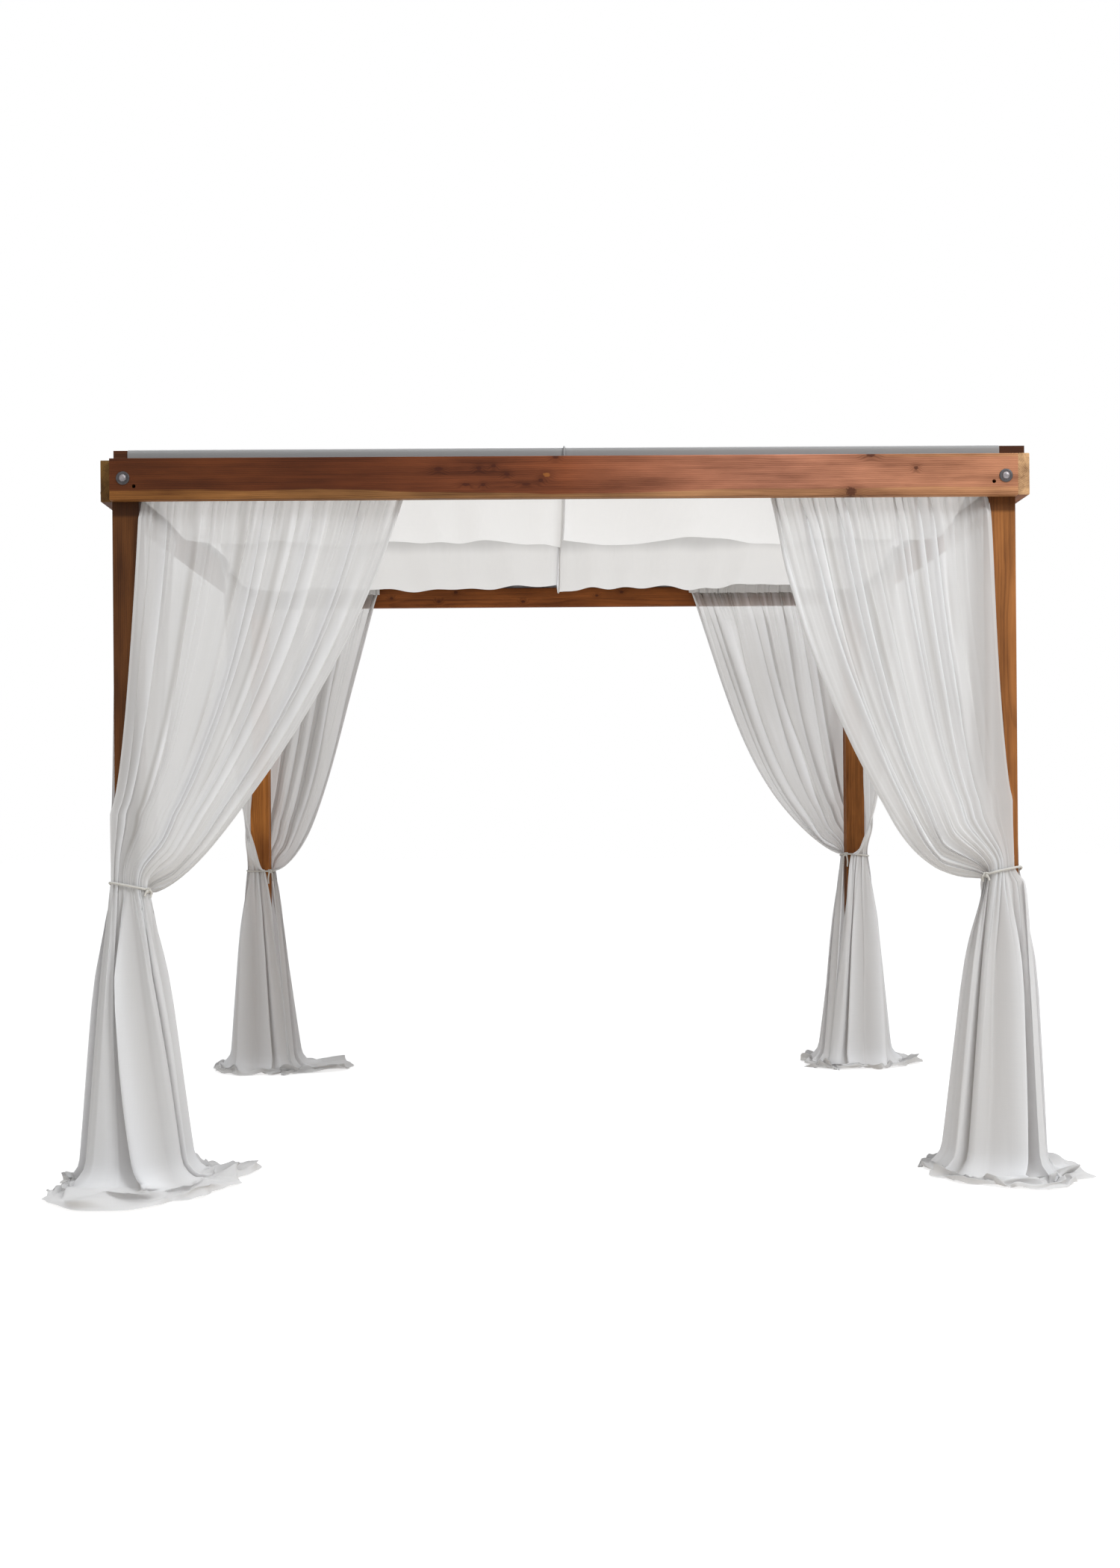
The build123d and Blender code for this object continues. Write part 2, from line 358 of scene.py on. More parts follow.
# Added to ten times a curtain's seed for each family of folds
SMALL_SEED = 300
MIDDLE_SEED = 100
BROAD_SEED = 200

CURTAIN_COLUMNS = 300
POCKET_ROWS = 8
SWEEP_ROWS = 66
SKIRT_ROWS = 36
PUDDLE_ROWS = 36
CUT_WIDTH = 1.016

# Counts and heights of the families of folds at levels of the drop: 0 is the rod, 1 the tie, 2 the
# ground, 3 the end. The fine ones are in shares of their property, the others also of the room that each
# fold has.
FINE_COUNT = 31
SMALL_COUNT = 17
MIDDLE_COUNT = 9
FOLD_LEVELS = (0.0, 0.08, 0.16, 0.3, 0.6, 0.88, 1.0, 1.1, 1.3, 1.75, 2.0, 2.2, 3.0)
FINE_FOLDS = (1.0, 0.7, 0.18, 0.02, 0.0, 0.0, 0.08, 0.0, 0.0, 0.0, 0.0, 0.0, 0.0)
SMALL_FOLDS = (0.5, 0.8, 0.6, 0.22, 0.08, 0.2, 0.5, 0.25, 0.0, 0.0, 0.0, 0.0, 0.0)
MIDDLE_FOLDS = (0.25, 0.55, 0.95, 1.1, 1.0, 1.0, 1.0, 0.6, 0.18, 0.06, 0.06, 0.06, 0.05)
BROAD_FOLDS = (0.0, 0.0, 0.0, 0.0, 0.0, 0.0, 0.0, 0.5, 1.0, 1.0, 1.0, 0.8, 0.3)

# The broad folds of a skirt: place and half width in shares of the cloth's width, height in shares of the
# skirt's, and the way that the fold falls
SKIRT_FOLDS = (
    (0.03, 0.13, 0.055, 0.2),
    (0.27, 0.085, 0.12, -1.2),
    (0.44, 0.11, 0.05, 0.5),
    (0.6, 0.075, 0.085, -0.9),
    (0.76, 0.085, 0.08, 0.9),
    (0.93, 0.09, 0.055, -0.3),
)

# How strongly the gathers are painted, with shade in their valleys and light on their ridges, at levels of
# the drop
GATHER_LEVELS = (0.0, 0.05, 0.09, 0.16)
GATHER_SHADING = (1.3, 1.2, 0.5, 0.0)

# Share of the cut width that a row of the cloth shows at levels of the drop
SHOWN_LEVELS = (0.0, 0.12, 0.3, 0.6, 0.85, 1.0, 1.1, 1.4, 2.0)
SHOWN = (1.0, 1.0, 0.92, 0.78, 0.55, 0.36, 0.42, 0.62, 0.85)

# How far the cloth is closed by layers lying on each other, at levels of the drop; below 0 it is more
# open
COVER_LEVELS = (0.0, 0.08, 0.14, 0.3, 0.7, 0.9, 1.0, 1.25, 2.0, 3.0)
COVER = (-3.0, -3.0, -1.0, 0.0, 0.15, 0.55, 1.0, 0.95, 0.95, 1.0)

# Where the free edge meets the tie and the other edge meets the rod, from the post's outer corner
NECK_SIDE = POST_SIDE + 0.018
POST_EDGE = 0.0925

# How far inside the post's outer face the sweep runs: over the post, beside it, under the beam, at the rod
SWEEP_OVER = -0.011
SWEEP_BESIDE = ROD_INSET - 0.008
SWEEP_UNDER = 0.03
SWEEP_TOP = ROD_FACE - 0.01

# How near the cloth comes to the beam and to the rod behind the beam, and how softly
BEAM_GAP = 0.0015
ROD_GAP = 0.0005
GAP_SOFTNESS = 0.0015

# Angle of the pocket's seam round the rod, and how far the pocket stays off it
SEAM_ANGLE = -1.15
POCKET_GAP = 0.0025

# Columns at each edge, and rows below the pocket, where the cloth lies in two layers, and the tone of its hem
EDGE_COLUMNS = 4
TOP_ROWS = 2
HEM_TONE = 0.6

# Length of the path round the post at the tie and at the ground
NECK_LENGTH = 0.19
GROUND_LENGTH = 0.57

# How far a skirt runs out as it meets the ground, how far one that leaves the post's corner bare springs
# over it below the tie, and how far the cloth on the ground goes on round the post, so that two curtains
# lap
SKIRT_FLOW = 0.035
SPRING = 1.4
PUDDLE_LAP = 0.22

# Heights over the ground: the skirt's foot, the cloth that lies flat, and the lowest that any of it comes
FOOT_HEIGHT = 0.016
LAID_HEIGHT = 0.004
LEAST_HEIGHT = 0.0015


def fold_offsets(drape, a, level, width, values):
    """How far the cloth stands out from its line and slips along it, and the tone that its folds give it.

    It adds up the families of folds, each with its height at this level. Above the tie, the folds on the
    calm share of the width beside the post are nearly flat. The tone is painted light and shade on the
    crests, creases and gathers, with lighter cloth where it lies in two layers.
    """
    calm = mix(0.15, 1.0, smoothstep(drape.calm * 0.6, drape.calm * 1.4 + 0.02, a))
    calm = mix(calm, 1.0, smoothstep(0.85, 1.15, level))
    seed = drape.seed * 10
    families = (FINE_FOLDS, SMALL_FOLDS, MIDDLE_FOLDS, BROAD_FOLDS)
    fine, small, middle, broad = (np.interp(level, FOLD_LEVELS, family) for family in families)
    fine_out, fine_slip = gathers(a, level, FINE_COUNT, seed)
    small_out, small_slip, small_tone = ridges(a, level, SMALL_COUNT, seed + SMALL_SEED, 1.5, drape.lean)
    middle_out, middle_slip, middle_tone = ridges(a, level, MIDDLE_COUNT, seed + MIDDLE_SEED, 3.0, drape.lean)
    broad_out, broad_slip, broad_tone = lapped(a, level - 1, seed + BROAD_SEED)
    folds = (
        (fine * values.fine_fold * calm, fine_out, 0.5 * fine_slip),
        (small * values.middle_fold * calm * width / SMALL_COUNT, small_out, 0.8 * small_slip),
        (middle * values.middle_fold * calm * width / MIDDLE_COUNT, middle_out, 1.6 * middle_slip),
        (broad * values.broad_fold * width, broad_out, broad_slip),
    )
    out = sum(height * share for height, share, _ in folds)
    slip = sum(height * share for height, _, share in folds)
    # Painted shade in the gathers' valleys below the rod and beam, and painted light on their ridges
    gather_shading = np.interp(level, GATHER_LEVELS, GATHER_SHADING) * (0.6 * fine_out + 1.6 * (small_out - 0.5))
    tone = gather_shading + calm * (middle * middle_tone + 0.5 * small * small_tone) + broad * broad_tone
    return out, slip, tone


def neck_path(drape, a):
    """The path of the gathered cloth at the tie, close round two sides of the post."""
    return ell_path(a, start=-drape.lap, face=-0.009, side=POST_SIDE + 0.0095, end=0.062, radius=0.014)


def ground_path(drape, a):
    """The path of the skirt at the ground, round the same two sides."""
    out = CORNERS[drape.corner].skirt
    if drape.kind == "end":
        return ell_path(a, start=-out - 0.022, face=-0.085, side=0.2, end=0.22, radius=0.085)
    return ell_path(a, start=-0.095, face=-out, side=0.205, end=0.215, radius=0.085)


def fitted(build, level, least, most):
    """Scales the folds of each row so that the length along the row comes near its share of the cut width.

    build makes the rows from a scale. The length grows about as the root of the plain length squared plus
    the scale squared times a constant, which gives the scale.
    """
    flat, full = (np.linalg.norm(np.diff(build(k), axis=1), axis=2).sum(axis=1) for k in (0.0, 1.0))
    aim = CUT_WIDTH * np.interp(level[:, 0], SHOWN_LEVELS, SHOWN)
    scale = np.sqrt(np.clip(aim**2 - flat**2, 0, None) / (full**2 - flat**2))
    return build(np.clip(scale, least, most)[:, None])


def sweep_rows(drape, a, tie, values):
    """The cloth from the rod to the tie.

    The free edge runs from the rod to the tie as a power of the height, and the power is itself a
    polynomial of the height. The other edge crosses the post's outer face on the way down. The columns
    share the width between them, and near the tie they turn to the path round the post. Behind the beam
    the cloth stays between the beam's inner face and the rod's outer side.
    """
    level = 1 - (1 - np.linspace(0, 1, SWEEP_ROWS)[:, None]) ** 1.5
    s = 1 - level
    free = NECK_SIDE + (drape.reach - NECK_SIDE) * s ** np.polynomial.polynomial.polyval(s, drape.bend)
    post_edge = -drape.lap + (POST_EDGE + drape.lap) * np.clip((s - 0.18) / 0.75, 0, 1) ** 0.6
    x = mix(post_edge, free, a)
    z = mix(tie, ROD_HEIGHT, s) + 0 * a
    beyond = smoothstep(POST_SIDE - 0.002, POST_SIDE + 0.075, x)
    below = mix(SWEEP_OVER, SWEEP_BESIDE, beyond)
    y = mix(below, SWEEP_UNDER, smoothstep(BEAM_BOTTOM - 0.06, BEAM_BOTTOM, z))
    y = mix(y, SWEEP_TOP, smoothstep(BEAM_BOTTOM, ROD_HEIGHT, z))
    wrap_x, wrap_y, nx, ny = neck_path(drape, a)
    near = smoothstep(0.8, 1.0, level)
    x = mix(x, wrap_x, smoothstep(mix(0.84, 0.998, a**2), 1.0, level))
    y = mix(y, wrap_y, smoothstep(0.62, 1.02, level) ** 1.2)
    nx, ny = turned_normal((0.0, -1.0), (nx, ny), near)
    room = np.maximum(free - post_edge, NECK_LENGTH)
    out, slip, tone = fold_offsets(drape, a, level + 0 * a, room, values)
    over_post = mix(0.45, 1.0, smoothstep(POST_SIDE, POST_SIDE + 0.06, x))
    out = out * mix(over_post, 1.0, near)
    z = z + (tie_height(drape.corner, x, y) - tie) * smoothstep(0.75, 1.0, level)

    def build(scale):
        """The rows with their folds at a scale."""
        px, py = shifted(x, y, nx, ny, out * scale, slip * scale)
        cleared_x, cleared_y = clear_of_post(px, py, nx, ny)
        px = np.where(z < BEAM_BOTTOM, cleared_x, np.maximum(px, POST_SIDE + 0.001))
        py = np.where(z < BEAM_BOTTOM, cleared_y, py)
        inner = soft_floor(py, BEAM_GAP, GAP_SOFTNESS)
        outer = ROD_FACE - soft_floor(ROD_FACE - inner, ROD_GAP, GAP_SOFTNESS)
        py = mix(py, inner, smoothstep(BEAM_BOTTOM - 0.02, BEAM_BOTTOM, z))
        py = mix(py, outer, smoothstep(ROD_HEIGHT - 0.08, ROD_HEIGHT - 0.02, z))
        return np.stack([px, py, z], axis=-1)

    return fitted(build, level, 0.3, 1.7), level, tone


def skirt_rows(drape, a, tie, values):
    """The cloth from the tie to the ground: the path at the tie widens to the path at the ground.

    It widens fast below the tie, hangs nearly straight, and runs outwards again as it meets the ground.
    The folds swing towards the free edge by a power of a. They fade out at the edge round the post's
    outer corner, where the cloth flows round the corner, so that it meets the other curtain's.
    """
    h = (np.linspace(0, 1, SKIRT_ROWS + 1)[1:, None]) ** 1.1
    neck_x, neck_y, *neck_normal = neck_path(drape, a)
    ground_x, ground_y, *ground_normal = ground_path(drape, a)
    share = 0.93 * h**0.88 + 0.07 * h**9
    x, y = mix(neck_x, ground_x, share), mix(neck_y, ground_y, share)
    nx, ny = turned_normal(neck_normal, ground_normal, share)
    x = x - max(0.0, -drape.lap) * SPRING * smoothstep(0, 0.05, h) * smoothstep(0.3, 0.0, a)
    width = mix(NECK_LENGTH, GROUND_LENGTH, share) + 0 * a
    swung = a ** mix(1.0, drape.swing, h)
    out, slip, tone = fold_offsets(drape, swung, 1 + h + 0 * a, width, values)
    out = out * smoothstep(-0.01, 0.05, a)
    flow = smoothstep(0.9, 1.0, h)
    spread = SKIRT_FLOW * flow**2
    round_corner = smoothstep(0.1, 0.0, a)
    z = mix(tie, 0.0, h) + (tie_height(drape.corner, neck_x, neck_y) - tie) * smoothstep(0.25, 0.0, h)
    z = np.maximum(z, FOOT_HEIGHT + 0.03 * (1 - flow) ** 2) + 0.35 * np.maximum(out, 0) * flow

    def build(scale):
        """The rows with their folds at a scale."""
        moved = shifted(x, y, nx, ny, out * scale + spread, slip * scale - spread * round_corner)
        return np.stack([*clear_of_post(*moved, nx, ny), z], axis=-1)

    return fitted(build, 1 + h, 0.7, 1.4), 1 + h, tone


def outline(drape, angle, a):
    """The reach of the cloth on the ground in each direction: wandering quarter ellipses with points."""
    out_x, in_x, out_y, in_y = drape.spread
    cx, cy = np.cos(angle), np.sin(angle)
    lobe_x = np.where(cx > 0, in_x, out_x)
    lobe_y = np.where(cy > 0, in_y, out_y)
    edge = 1 / np.sqrt((cx / lobe_x) ** 2 + (cy / lobe_y) ** 2)
    edge = edge * (0.93 + 0.05 * wander(a * 2.4, drape.seed + 41) + 0.02 * wander(a * 7.0, drape.seed + 47))
    for at, extra, width in drape.points:
        edge = edge + extra * np.exp(-np.abs((angle - math.radians(at)) / math.radians(width)) ** 1.4)
    return edge


def puddle_rows(drape, a, foot):
    """The cloth lying on the ground: it runs outwards from the skirt's foot to a lobed outline.

    In polar form round the post's middle, the radius gains slow waves that lean outwards, and both edges
    turn on round the post, so that the two curtains of a corner lap. The height keeps the skirt's broad
    folds, dying away, and gains rounded lobes that cross them and a soft roll near the outline. Both
    edges are laid flat.
    """
    r = np.linspace(0, 1, PUDDLE_ROWS + 1)[1:, None]
    middle = POST_SIDE / 2
    base_x, base_y, _, _ = ground_path(drape, a)
    start = np.arctan2(foot[..., 1] - middle, foot[..., 0] - middle)
    angle = np.arctan2(base_y - middle, base_x - middle)
    start = angle + (start - angle + np.pi) % TURN - np.pi
    radius = np.hypot(foot[..., 0] - middle, foot[..., 1] - middle)
    edge = np.maximum(outline(drape, angle, a), radius + 0.04)
    phase = TURN * (1.35 * r + 0.8 * drift(a * 1.1, r * 0.4, drape.seed + 43) + 1.1 * a)
    swell = 0.75 + 0.4 * wander(a * 3.0, drape.seed + 46)
    roll = smoothstep(0.15, 0.55, r) * smoothstep(1.0, 0.8, r) * swell
    along = soft_floor(r + 0.17 * np.sin(phase) * roll, 0.0, 0.01)
    heading = mix(start, angle, smoothstep(0, 0.7, r)) + PUDDLE_LAP * smoothstep(0, 0.25, r) * (2 * a - 1)
    heading = heading + 0.08 * r * wander(a * 2.1 + 0.5 * r, drape.seed + 44)
    spread = mix(radius, edge, along)
    swung = a**drape.swing
    seed = drape.seed * 10
    broad, _, _ = lapped(swung + 0.01 * np.sin(phase), 1 + r, seed + BROAD_SEED)
    small, _, _ = ridges(swung + 0.02 * np.sin(phase), 2 + r, MIDDLE_COUNT, seed + MIDDLE_SEED, 1.4, 1.0)
    soft = drift(a * 4, r * 1.2, drape.seed + 45, 2.0, 1.5)
    height = 0.16 * np.maximum(broad, 0) * (1 - r) + 0.014 * small * np.sin(np.pi * np.sqrt(r))
    height = height + 0.034 * (0.5 + 0.5 * np.sin(phase - 0.35)) * np.clip(roll, 0, None) + 0.003 * soft
    height = height + 0.015 * bell(r, 0.93, 0.07) * (0.6 + 0.5 * wander(a * 5.0, drape.seed + 48))
    laid = smoothstep(0.0, 0.07, a) * smoothstep(1.0, 0.93, a)
    z = mix(LAID_HEIGHT + np.maximum(height, 0) * laid, foot[..., 2], np.exp(-r * 5.0))
    x, y = middle + spread * np.cos(heading), middle + spread * np.sin(heading)
    return np.stack([x, y, z], axis=-1), 2 + r


def pocket_rows(top):
    """The pocket over the rod: from the seam on its inner side, over the rod and down to the row top.

    Round the rod's axis the angle runs from below inside to straight outside, and the radius swells from
    the rod's own to the top row's distance, with a ruffle standing up above the rod.
    """
    angle = np.linspace(SEAM_ANGLE, np.pi, POCKET_ROWS, endpoint=False)[:, None]
    share = (angle - SEAM_ANGLE) / (np.pi - SEAM_ANGLE)
    close = ROD_RADIUS + POCKET_GAP
    far = ROD_INSET - top[None, :, 1]
    reach = close + (far - close) * (0.45 + 0.55 * share)
    ruffle = 0.01 * bell(angle, 1.5, 0.6) * (1 + (far - close) / 0.02)
    x = top[None, :, 0] + 0 * angle
    y = ROD_INSET + reach * np.cos(angle)
    z = top[None, :, 2] + (reach + ruffle) * np.sin(angle) - 0.025 * bell(angle, SEAM_ANGLE, 0.5)
    return np.stack([x, y, z], axis=-1)


def curtain(drape, values, material):
    """One curtain in one sheet: pocket, sweep to the tie, skirt, puddle and a rolled hem at its free edge."""
    tie = tie_middle(drape.corner)
    a = np.linspace(0, 1, CURTAIN_COLUMNS)[None, :]
    sweep, sweep_level, sweep_tone = sweep_rows(drape, a, tie, values)
    skirt, skirt_level, skirt_tone = skirt_rows(drape, a, tie, values)
    puddle, puddle_level = puddle_rows(drape, a, skirt[-1:])
    points = edge_roll(np.concatenate([pocket_rows(sweep[0]), sweep, skirt, puddle]), values.hem * drape.hem)
    points[..., 2] = np.maximum(points[..., 2], LEAST_HEIGHT)
    rows, columns = points.shape[:2]
    uv = cloth_map(CUT_WIDTH, columns, run_along(points.mean(axis=1)))
    level = np.concatenate([np.zeros((POCKET_ROWS, 1)), sweep_level, skirt_level, puddle_level])
    closed = np.interp(level, COVER_LEVELS, COVER) + np.zeros((rows, columns))
    closed[: POCKET_ROWS + TOP_ROWS] = 1
    closed[:, :EDGE_COLUMNS] = 1
    closed[:, -HEM_COLUMNS - EDGE_COLUMNS - 1 :] = 1
    pocket_tone = np.zeros((POCKET_ROWS, CURTAIN_COLUMNS))
    fade = np.linspace(1, 0, PUDDLE_ROWS)[:, None] ** 2
    tone = np.concatenate([pocket_tone, sweep_tone, skirt_tone, skirt_tone[-1] * fade])
    tone = np.pad(np.clip(tone, -1, 1), ((0, 0), (0, HEM_COLUMNS)), constant_values=HEM_TONE)
    swap = drape.kind == "side"
    end, side = drape.corner.split("_")
    rail, kind = (side, "side") if swap else (end, end)
    node = f"{drape.corner}_{kind}_curtain"
    placed = to_corner(points, drape.corner, swap)
    flip = turned_round(drape.corner, swap)
    piece = mesh_object(node + "_cloth", [placed], False, material, flip, uv, closed=closed, fold=tone)
    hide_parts(node)


# Cloth ceiling

CEILING_ROWS = 300
CEILING_COLUMNS = 190
CEILING_CUT_WIDTH = 1.524
CEILING_HEM = 0.0035
CREASE_COUNT = 24

# How far the cloth lies off the battens, and how many points lead over a batten and through a swag
CLOTH_GAP = 0.003
BATTEN_POINTS = 12
SWAG_POINTS = 200

# The seed of each panel's waves, and how far its edge at the slit hangs in the front swag and in the back
# one
CEILING_SEED = {"left": 50, "right": 70}
SLIT_DROP = {"left": (0.01, -0.014), "right": (-0.012, 0.014)}

# Where the shade behind the middle batten ends
BAND_END = 0.27


def ceiling_profile(values):
    """The line of the ceiling from its front hem to its back hem: y, height and the share of the swag.

    It climbs the front batten, crosses it, sags as a parabola to the middle batten, crosses that, sags to
    the back batten, crosses it and ends in its hem. The points are then set evenly along the line.
    """
    middle_low, middle_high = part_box("middle_batten")
    back_low, back_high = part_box("back_batten")
    top = BATTEN_HIGH.z + CLOTH_GAP
    t = np.linspace(0, 1, SWAG_POINTS)

    def flat(y0, y1):
        """Straight over a batten, from just past its one edge to just short of the other."""
        return np.linspace((y0 + 0.003, top, 0), (y1 - 0.003, top, 0), BATTEN_POINTS)

    def sag(y0, y1, drop):
        """A parabola between two battens."""
        swag = 1 - (2 * t - 1) ** 2
        return np.stack([mix(y0, y1, t), top - drop * swag, swag], axis=1)

    front, back = BATTEN_LOW.y - CLOTH_GAP, back_high.y + CLOTH_GAP
    line = np.concatenate(
        [
            np.linspace((front, BEAM_TOP + 0.006, 0), (front, top - 0.006, 0), BATTEN_POINTS),
            flat(BATTEN_LOW.y, BATTEN_HIGH.y),
            sag(BATTEN_HIGH.y, middle_low.y, values.front_drop),
            flat(middle_low.y, middle_high.y),
            sag(middle_high.y, back_low.y, values.back_drop),
            flat(back_low.y, back_high.y),
            np.linspace((back, top - 0.006, 0), (back, BEAM_TOP + 0.006, 0), BATTEN_POINTS),
        ]
    )
    length = run_along(line[:, :2])
    even = np.linspace(0, length[-1], CEILING_ROWS)
    return [np.interp(even, length, line[:, k])[:, None] for k in range(3)] + [length[-1]]


def ceiling_panel(side, values, material):
    """One ceiling panel in one sheet over the three battens.

    Across the panel the drop gains scallops, a wandering wave that grows with the swag, and fine pinched
    creases that start at the battens and fade. The edge at the slit lifts on one panel and hangs on the
    other.
    """
    left = side == "left"
    sign = -1 if left else 1
    seed = CEILING_SEED[side]
    y, z, swag, length = ceiling_profile(values)
    low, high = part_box("ceiling_" + side)
    outer, slit = (low.x, high.x) if left else (high.x, low.x)
    p = np.linspace(0, 1, CEILING_COLUMNS)[None, :]
    over = 0.03 * smoothstep(0.1, 0.0, swag)
    x = mix(outer + sign * (over - 0.004), slit - sign * 0.0025 * (1 - swag), p)
    x = x + sign * 0.012 * (1 - p) * swag * wander(y * 0.8, seed + 9)
    back = smoothstep(-0.05, 0.05, y)
    first = wander(p * 1.5, seed + 1) + 0.35 * wander(p * 4.2, seed + 2)
    second = wander(p * 1.8, seed + 3) + 0.4 * wander(p * 4.6, seed + 4)
    scallop = mix(first, second, back)
    creases, _ = gathers(p + 0.02 * np.sin(y * 3), y * 0.6, CREASE_COUNT, seed + 5)
    pinch = np.exp(-swag * 4.0) * smoothstep(0.0, 0.05, swag)
    lean = drift(p, y * 0.35, seed + 6, 3.0, 1.5)
    drop = values.wave * (0.75 * scallop * swag**1.2 + 0.35 * lean * swag) + 0.006 * pinch * creases
    drop = drop + mix(*SLIT_DROP[side], back) * np.exp(-(1 - p) / mix(0.035, 0.06, back)) * swag
    drop = drop - 0.012 * np.exp(-p / 0.05) * swag
    z = z - np.where(swag > 0, drop, 0)
    points = edge_roll(np.stack([x, y + 0 * x, z + 0 * x], axis=-1), CEILING_HEM)
    rows, columns = points.shape[:2]
    uv = cloth_map(CEILING_CUT_WIDTH, columns, np.linspace(0, length, rows))
    closed = np.zeros((rows, columns))
    closed[:, -HEM_COLUMNS - EDGE_COLUMNS :] = 1
    if not left:
        points, closed = points[:, ::-1], closed[:, ::-1]
    shade = 0.6 * smoothstep(BAND_END, BAND_END - 0.12, y) * smoothstep(-0.05, 0.0, y)
    shade = shade + smoothstep(BATTEN_LOW.y + 0.012, BATTEN_LOW.y, y) + np.zeros((rows, columns))
    node = "ceiling_" + side
    piece = mesh_object(node + "_cloth", [points], False, material, True, uv, closed=closed, shade=shade)
    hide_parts(node)


# Cords and bolts

# Where a tilted tie has the CAD cord's height, as x plus y, and the most of each that counts
TIE_PIVOT = 0.0365
TIE_REACH = 0.11

# Half the side of a tie's rounded square, the power that shapes it, and how far it is pressed in at the
# post's inner corner
RING_SIZE = 0.065
RING_POWER = 5.0
INNER_PINCH = 0.185

# Length of a rope in which its strands turn once, and the points round it
ROPE_LAY = 0.028
ROPE_SIDES = 18

# Length of a front tie's tails beside a back tie's
FRONT_TAIL = 0.4

# The bolts in each beam: place along it and height
BOLTS = {
    "front": ((-1.479, 2.371), (1.483, 2.363)),
    "back": ((-1.48, 2.368), (1.479, 2.371)),
    "left": ((-1.46, 2.336), (1.461, 2.334)),
    "right": ((-1.461, 2.335), (1.46, 2.337)),
}

# Points round a bolt, and the rows of its profile that are the washer's
BOLT_SIDES = 56
WASHER_ROWS = 6


def tie_middle(corner):
    """Height of the CAD cord's middle."""
    low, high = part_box(corner + "_tie")
    return (low.z + high.z) / 2


def tie_height(corner, x, y):
    """Height of the tie at a place by the post: the CAD cord's, tilted along the diagonal."""
    inwards = np.minimum(x, TIE_REACH) + np.minimum(y, TIE_REACH)
    return tie_middle(corner) + CORNERS[corner].tilt * (TIE_PIVOT - inwards)


def spline(points, count):
    """A smooth line along a few points: the uniform cubic B-spline, with its end points tripled."""
    knots = np.concatenate([points[:1], points[:1], points, points[-1:], points[-1:]])
    t = np.linspace(0, len(knots) - 3 - 1e-6, count)
    i = t.astype(int)
    f = (t - i)[:, None]
    return (
        knots[i] * (1 - f) ** 3
        + knots[i + 1] * (3 * f**3 - 6 * f**2 + 4)
        + knots[i + 2] * (-3 * f**3 + 3 * f**2 + 3 * f + 1)
        + knots[i + 3] * f**3
    ) / 6


def rope(path, radius, across, closed=False):
    """A three-strand rope carried along a path.

    The section is a circle with three rounded lobes that turn once in each lay of the length. The
    section's plane is set by the path's direction and the vector across. An open rope closes to a point
    at its ends.
    """
    steps = np.roll(path, -1, axis=0) - np.roll(path, 1, axis=0) if closed else np.gradient(path, axis=0)
    tangent = unit(steps)
    normal = unit(np.cross(tangent, across))
    second = np.cross(tangent, normal)
    length = run_along(path)
    turns = length / ROPE_LAY
    if closed:
        turns = np.linspace(0, round(length[-1] / ROPE_LAY), len(path), endpoint=False)
    angle = np.linspace(0, TURN, ROPE_SIDES, endpoint=False)[None, :]
    size = radius * (0.86 + 0.16 * np.sqrt(np.abs(np.cos(1.5 * (angle + TURN * turns[:, None])))))
    if not closed:
        k = np.linspace(0, 1, len(path))[:, None]
        size = size * np.sqrt(np.clip(np.minimum(k, 1 - k) * 25, 0.0001, 1))
    aside = (size * np.cos(angle))[..., None] * normal[:, None]
    return path[:, None] + aside + (size * np.sin(angle))[..., None] * second[:, None]


def tie_piece(corner, values, material):
    """One tie: a rope ring round the post and both gathered curtains, its knot and two short tails.

    The ring is a rounded square in polar form, pressed in to the bare wood at the post's inner corner.
    The knot is a trefoil curve on it that faces outwards.
    """
    middle = POST_SIDE / 2
    angle = np.linspace(0, TURN, 260, endpoint=False)
    cosine, sine = np.cos(angle), np.sin(angle)
    reach = RING_SIZE / (np.abs(cosine) ** RING_POWER + np.abs(sine) ** RING_POWER) ** (1 / RING_POWER)
    reach = reach * (1 - INNER_PINCH * bell(angle, np.pi / 4, 0.28))
    reach = reach * (1 - CORNERS[corner].pinch * bell(angle, 5 * np.pi / 4, 0.5))
    x, y = middle + reach * cosine, middle + reach * sine
    ring = np.stack([x, y, tie_height(corner, x, y)], axis=1)
    radius = values.cord_diameter / 2
    facing = CORNERS[corner].knot
    up = np.array([0.0, 0.0, 1.0])
    inward = np.array([math.cos(facing), math.sin(facing), 0.0])
    sideways = np.array([inward[1], -inward[0], 0.0])
    centre = ring[np.argmin(np.abs(angle - facing % TURN))] + inward * values.cord_diameter * 0.35
    t = np.linspace(0, TURN, 120, endpoint=False)[:, None]
    trefoil = (
        centre
        + 0.003 * (np.sin(t) + 2 * np.sin(2 * t)) * sideways
        + 0.0026 * (np.cos(t) - 2 * np.cos(2 * t)) * up
        - 0.0034 * np.sin(3 * t) * inward
    )
    grids = [rope(ring, radius, up, closed=True), rope(trefoil, radius * 0.9, inward, closed=True)]
    tail = values.tail * (FRONT_TAIL if "front" in corner else 1.0)
    for sign, length, curl in ((-1, tail, 0.4), (1, tail * 0.8, 1.0)):
        steps = np.array([[0.0], [0.16], [0.38], [0.66], [1.0]]) * length
        aside = sign * np.array([0.003, 0.009, 0.012, 0.01 + 0.004 * curl, 0.006 + 0.01 * curl])[:, None]
        bow = np.array([[0.002], [0.007], [0.006], [0.003], [0.004]])
        line = centre + aside * sideways - steps * up + bow * inward
        grids.append(rope(spline(line, 44), radius * 0.92, sideways))
    placed = [to_corner(grid, corner) for grid in grids]
    node = corner + "_tie"
    piece = mesh_object(node + "_rope", placed, True, material, turned_round(corner))
    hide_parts(node)


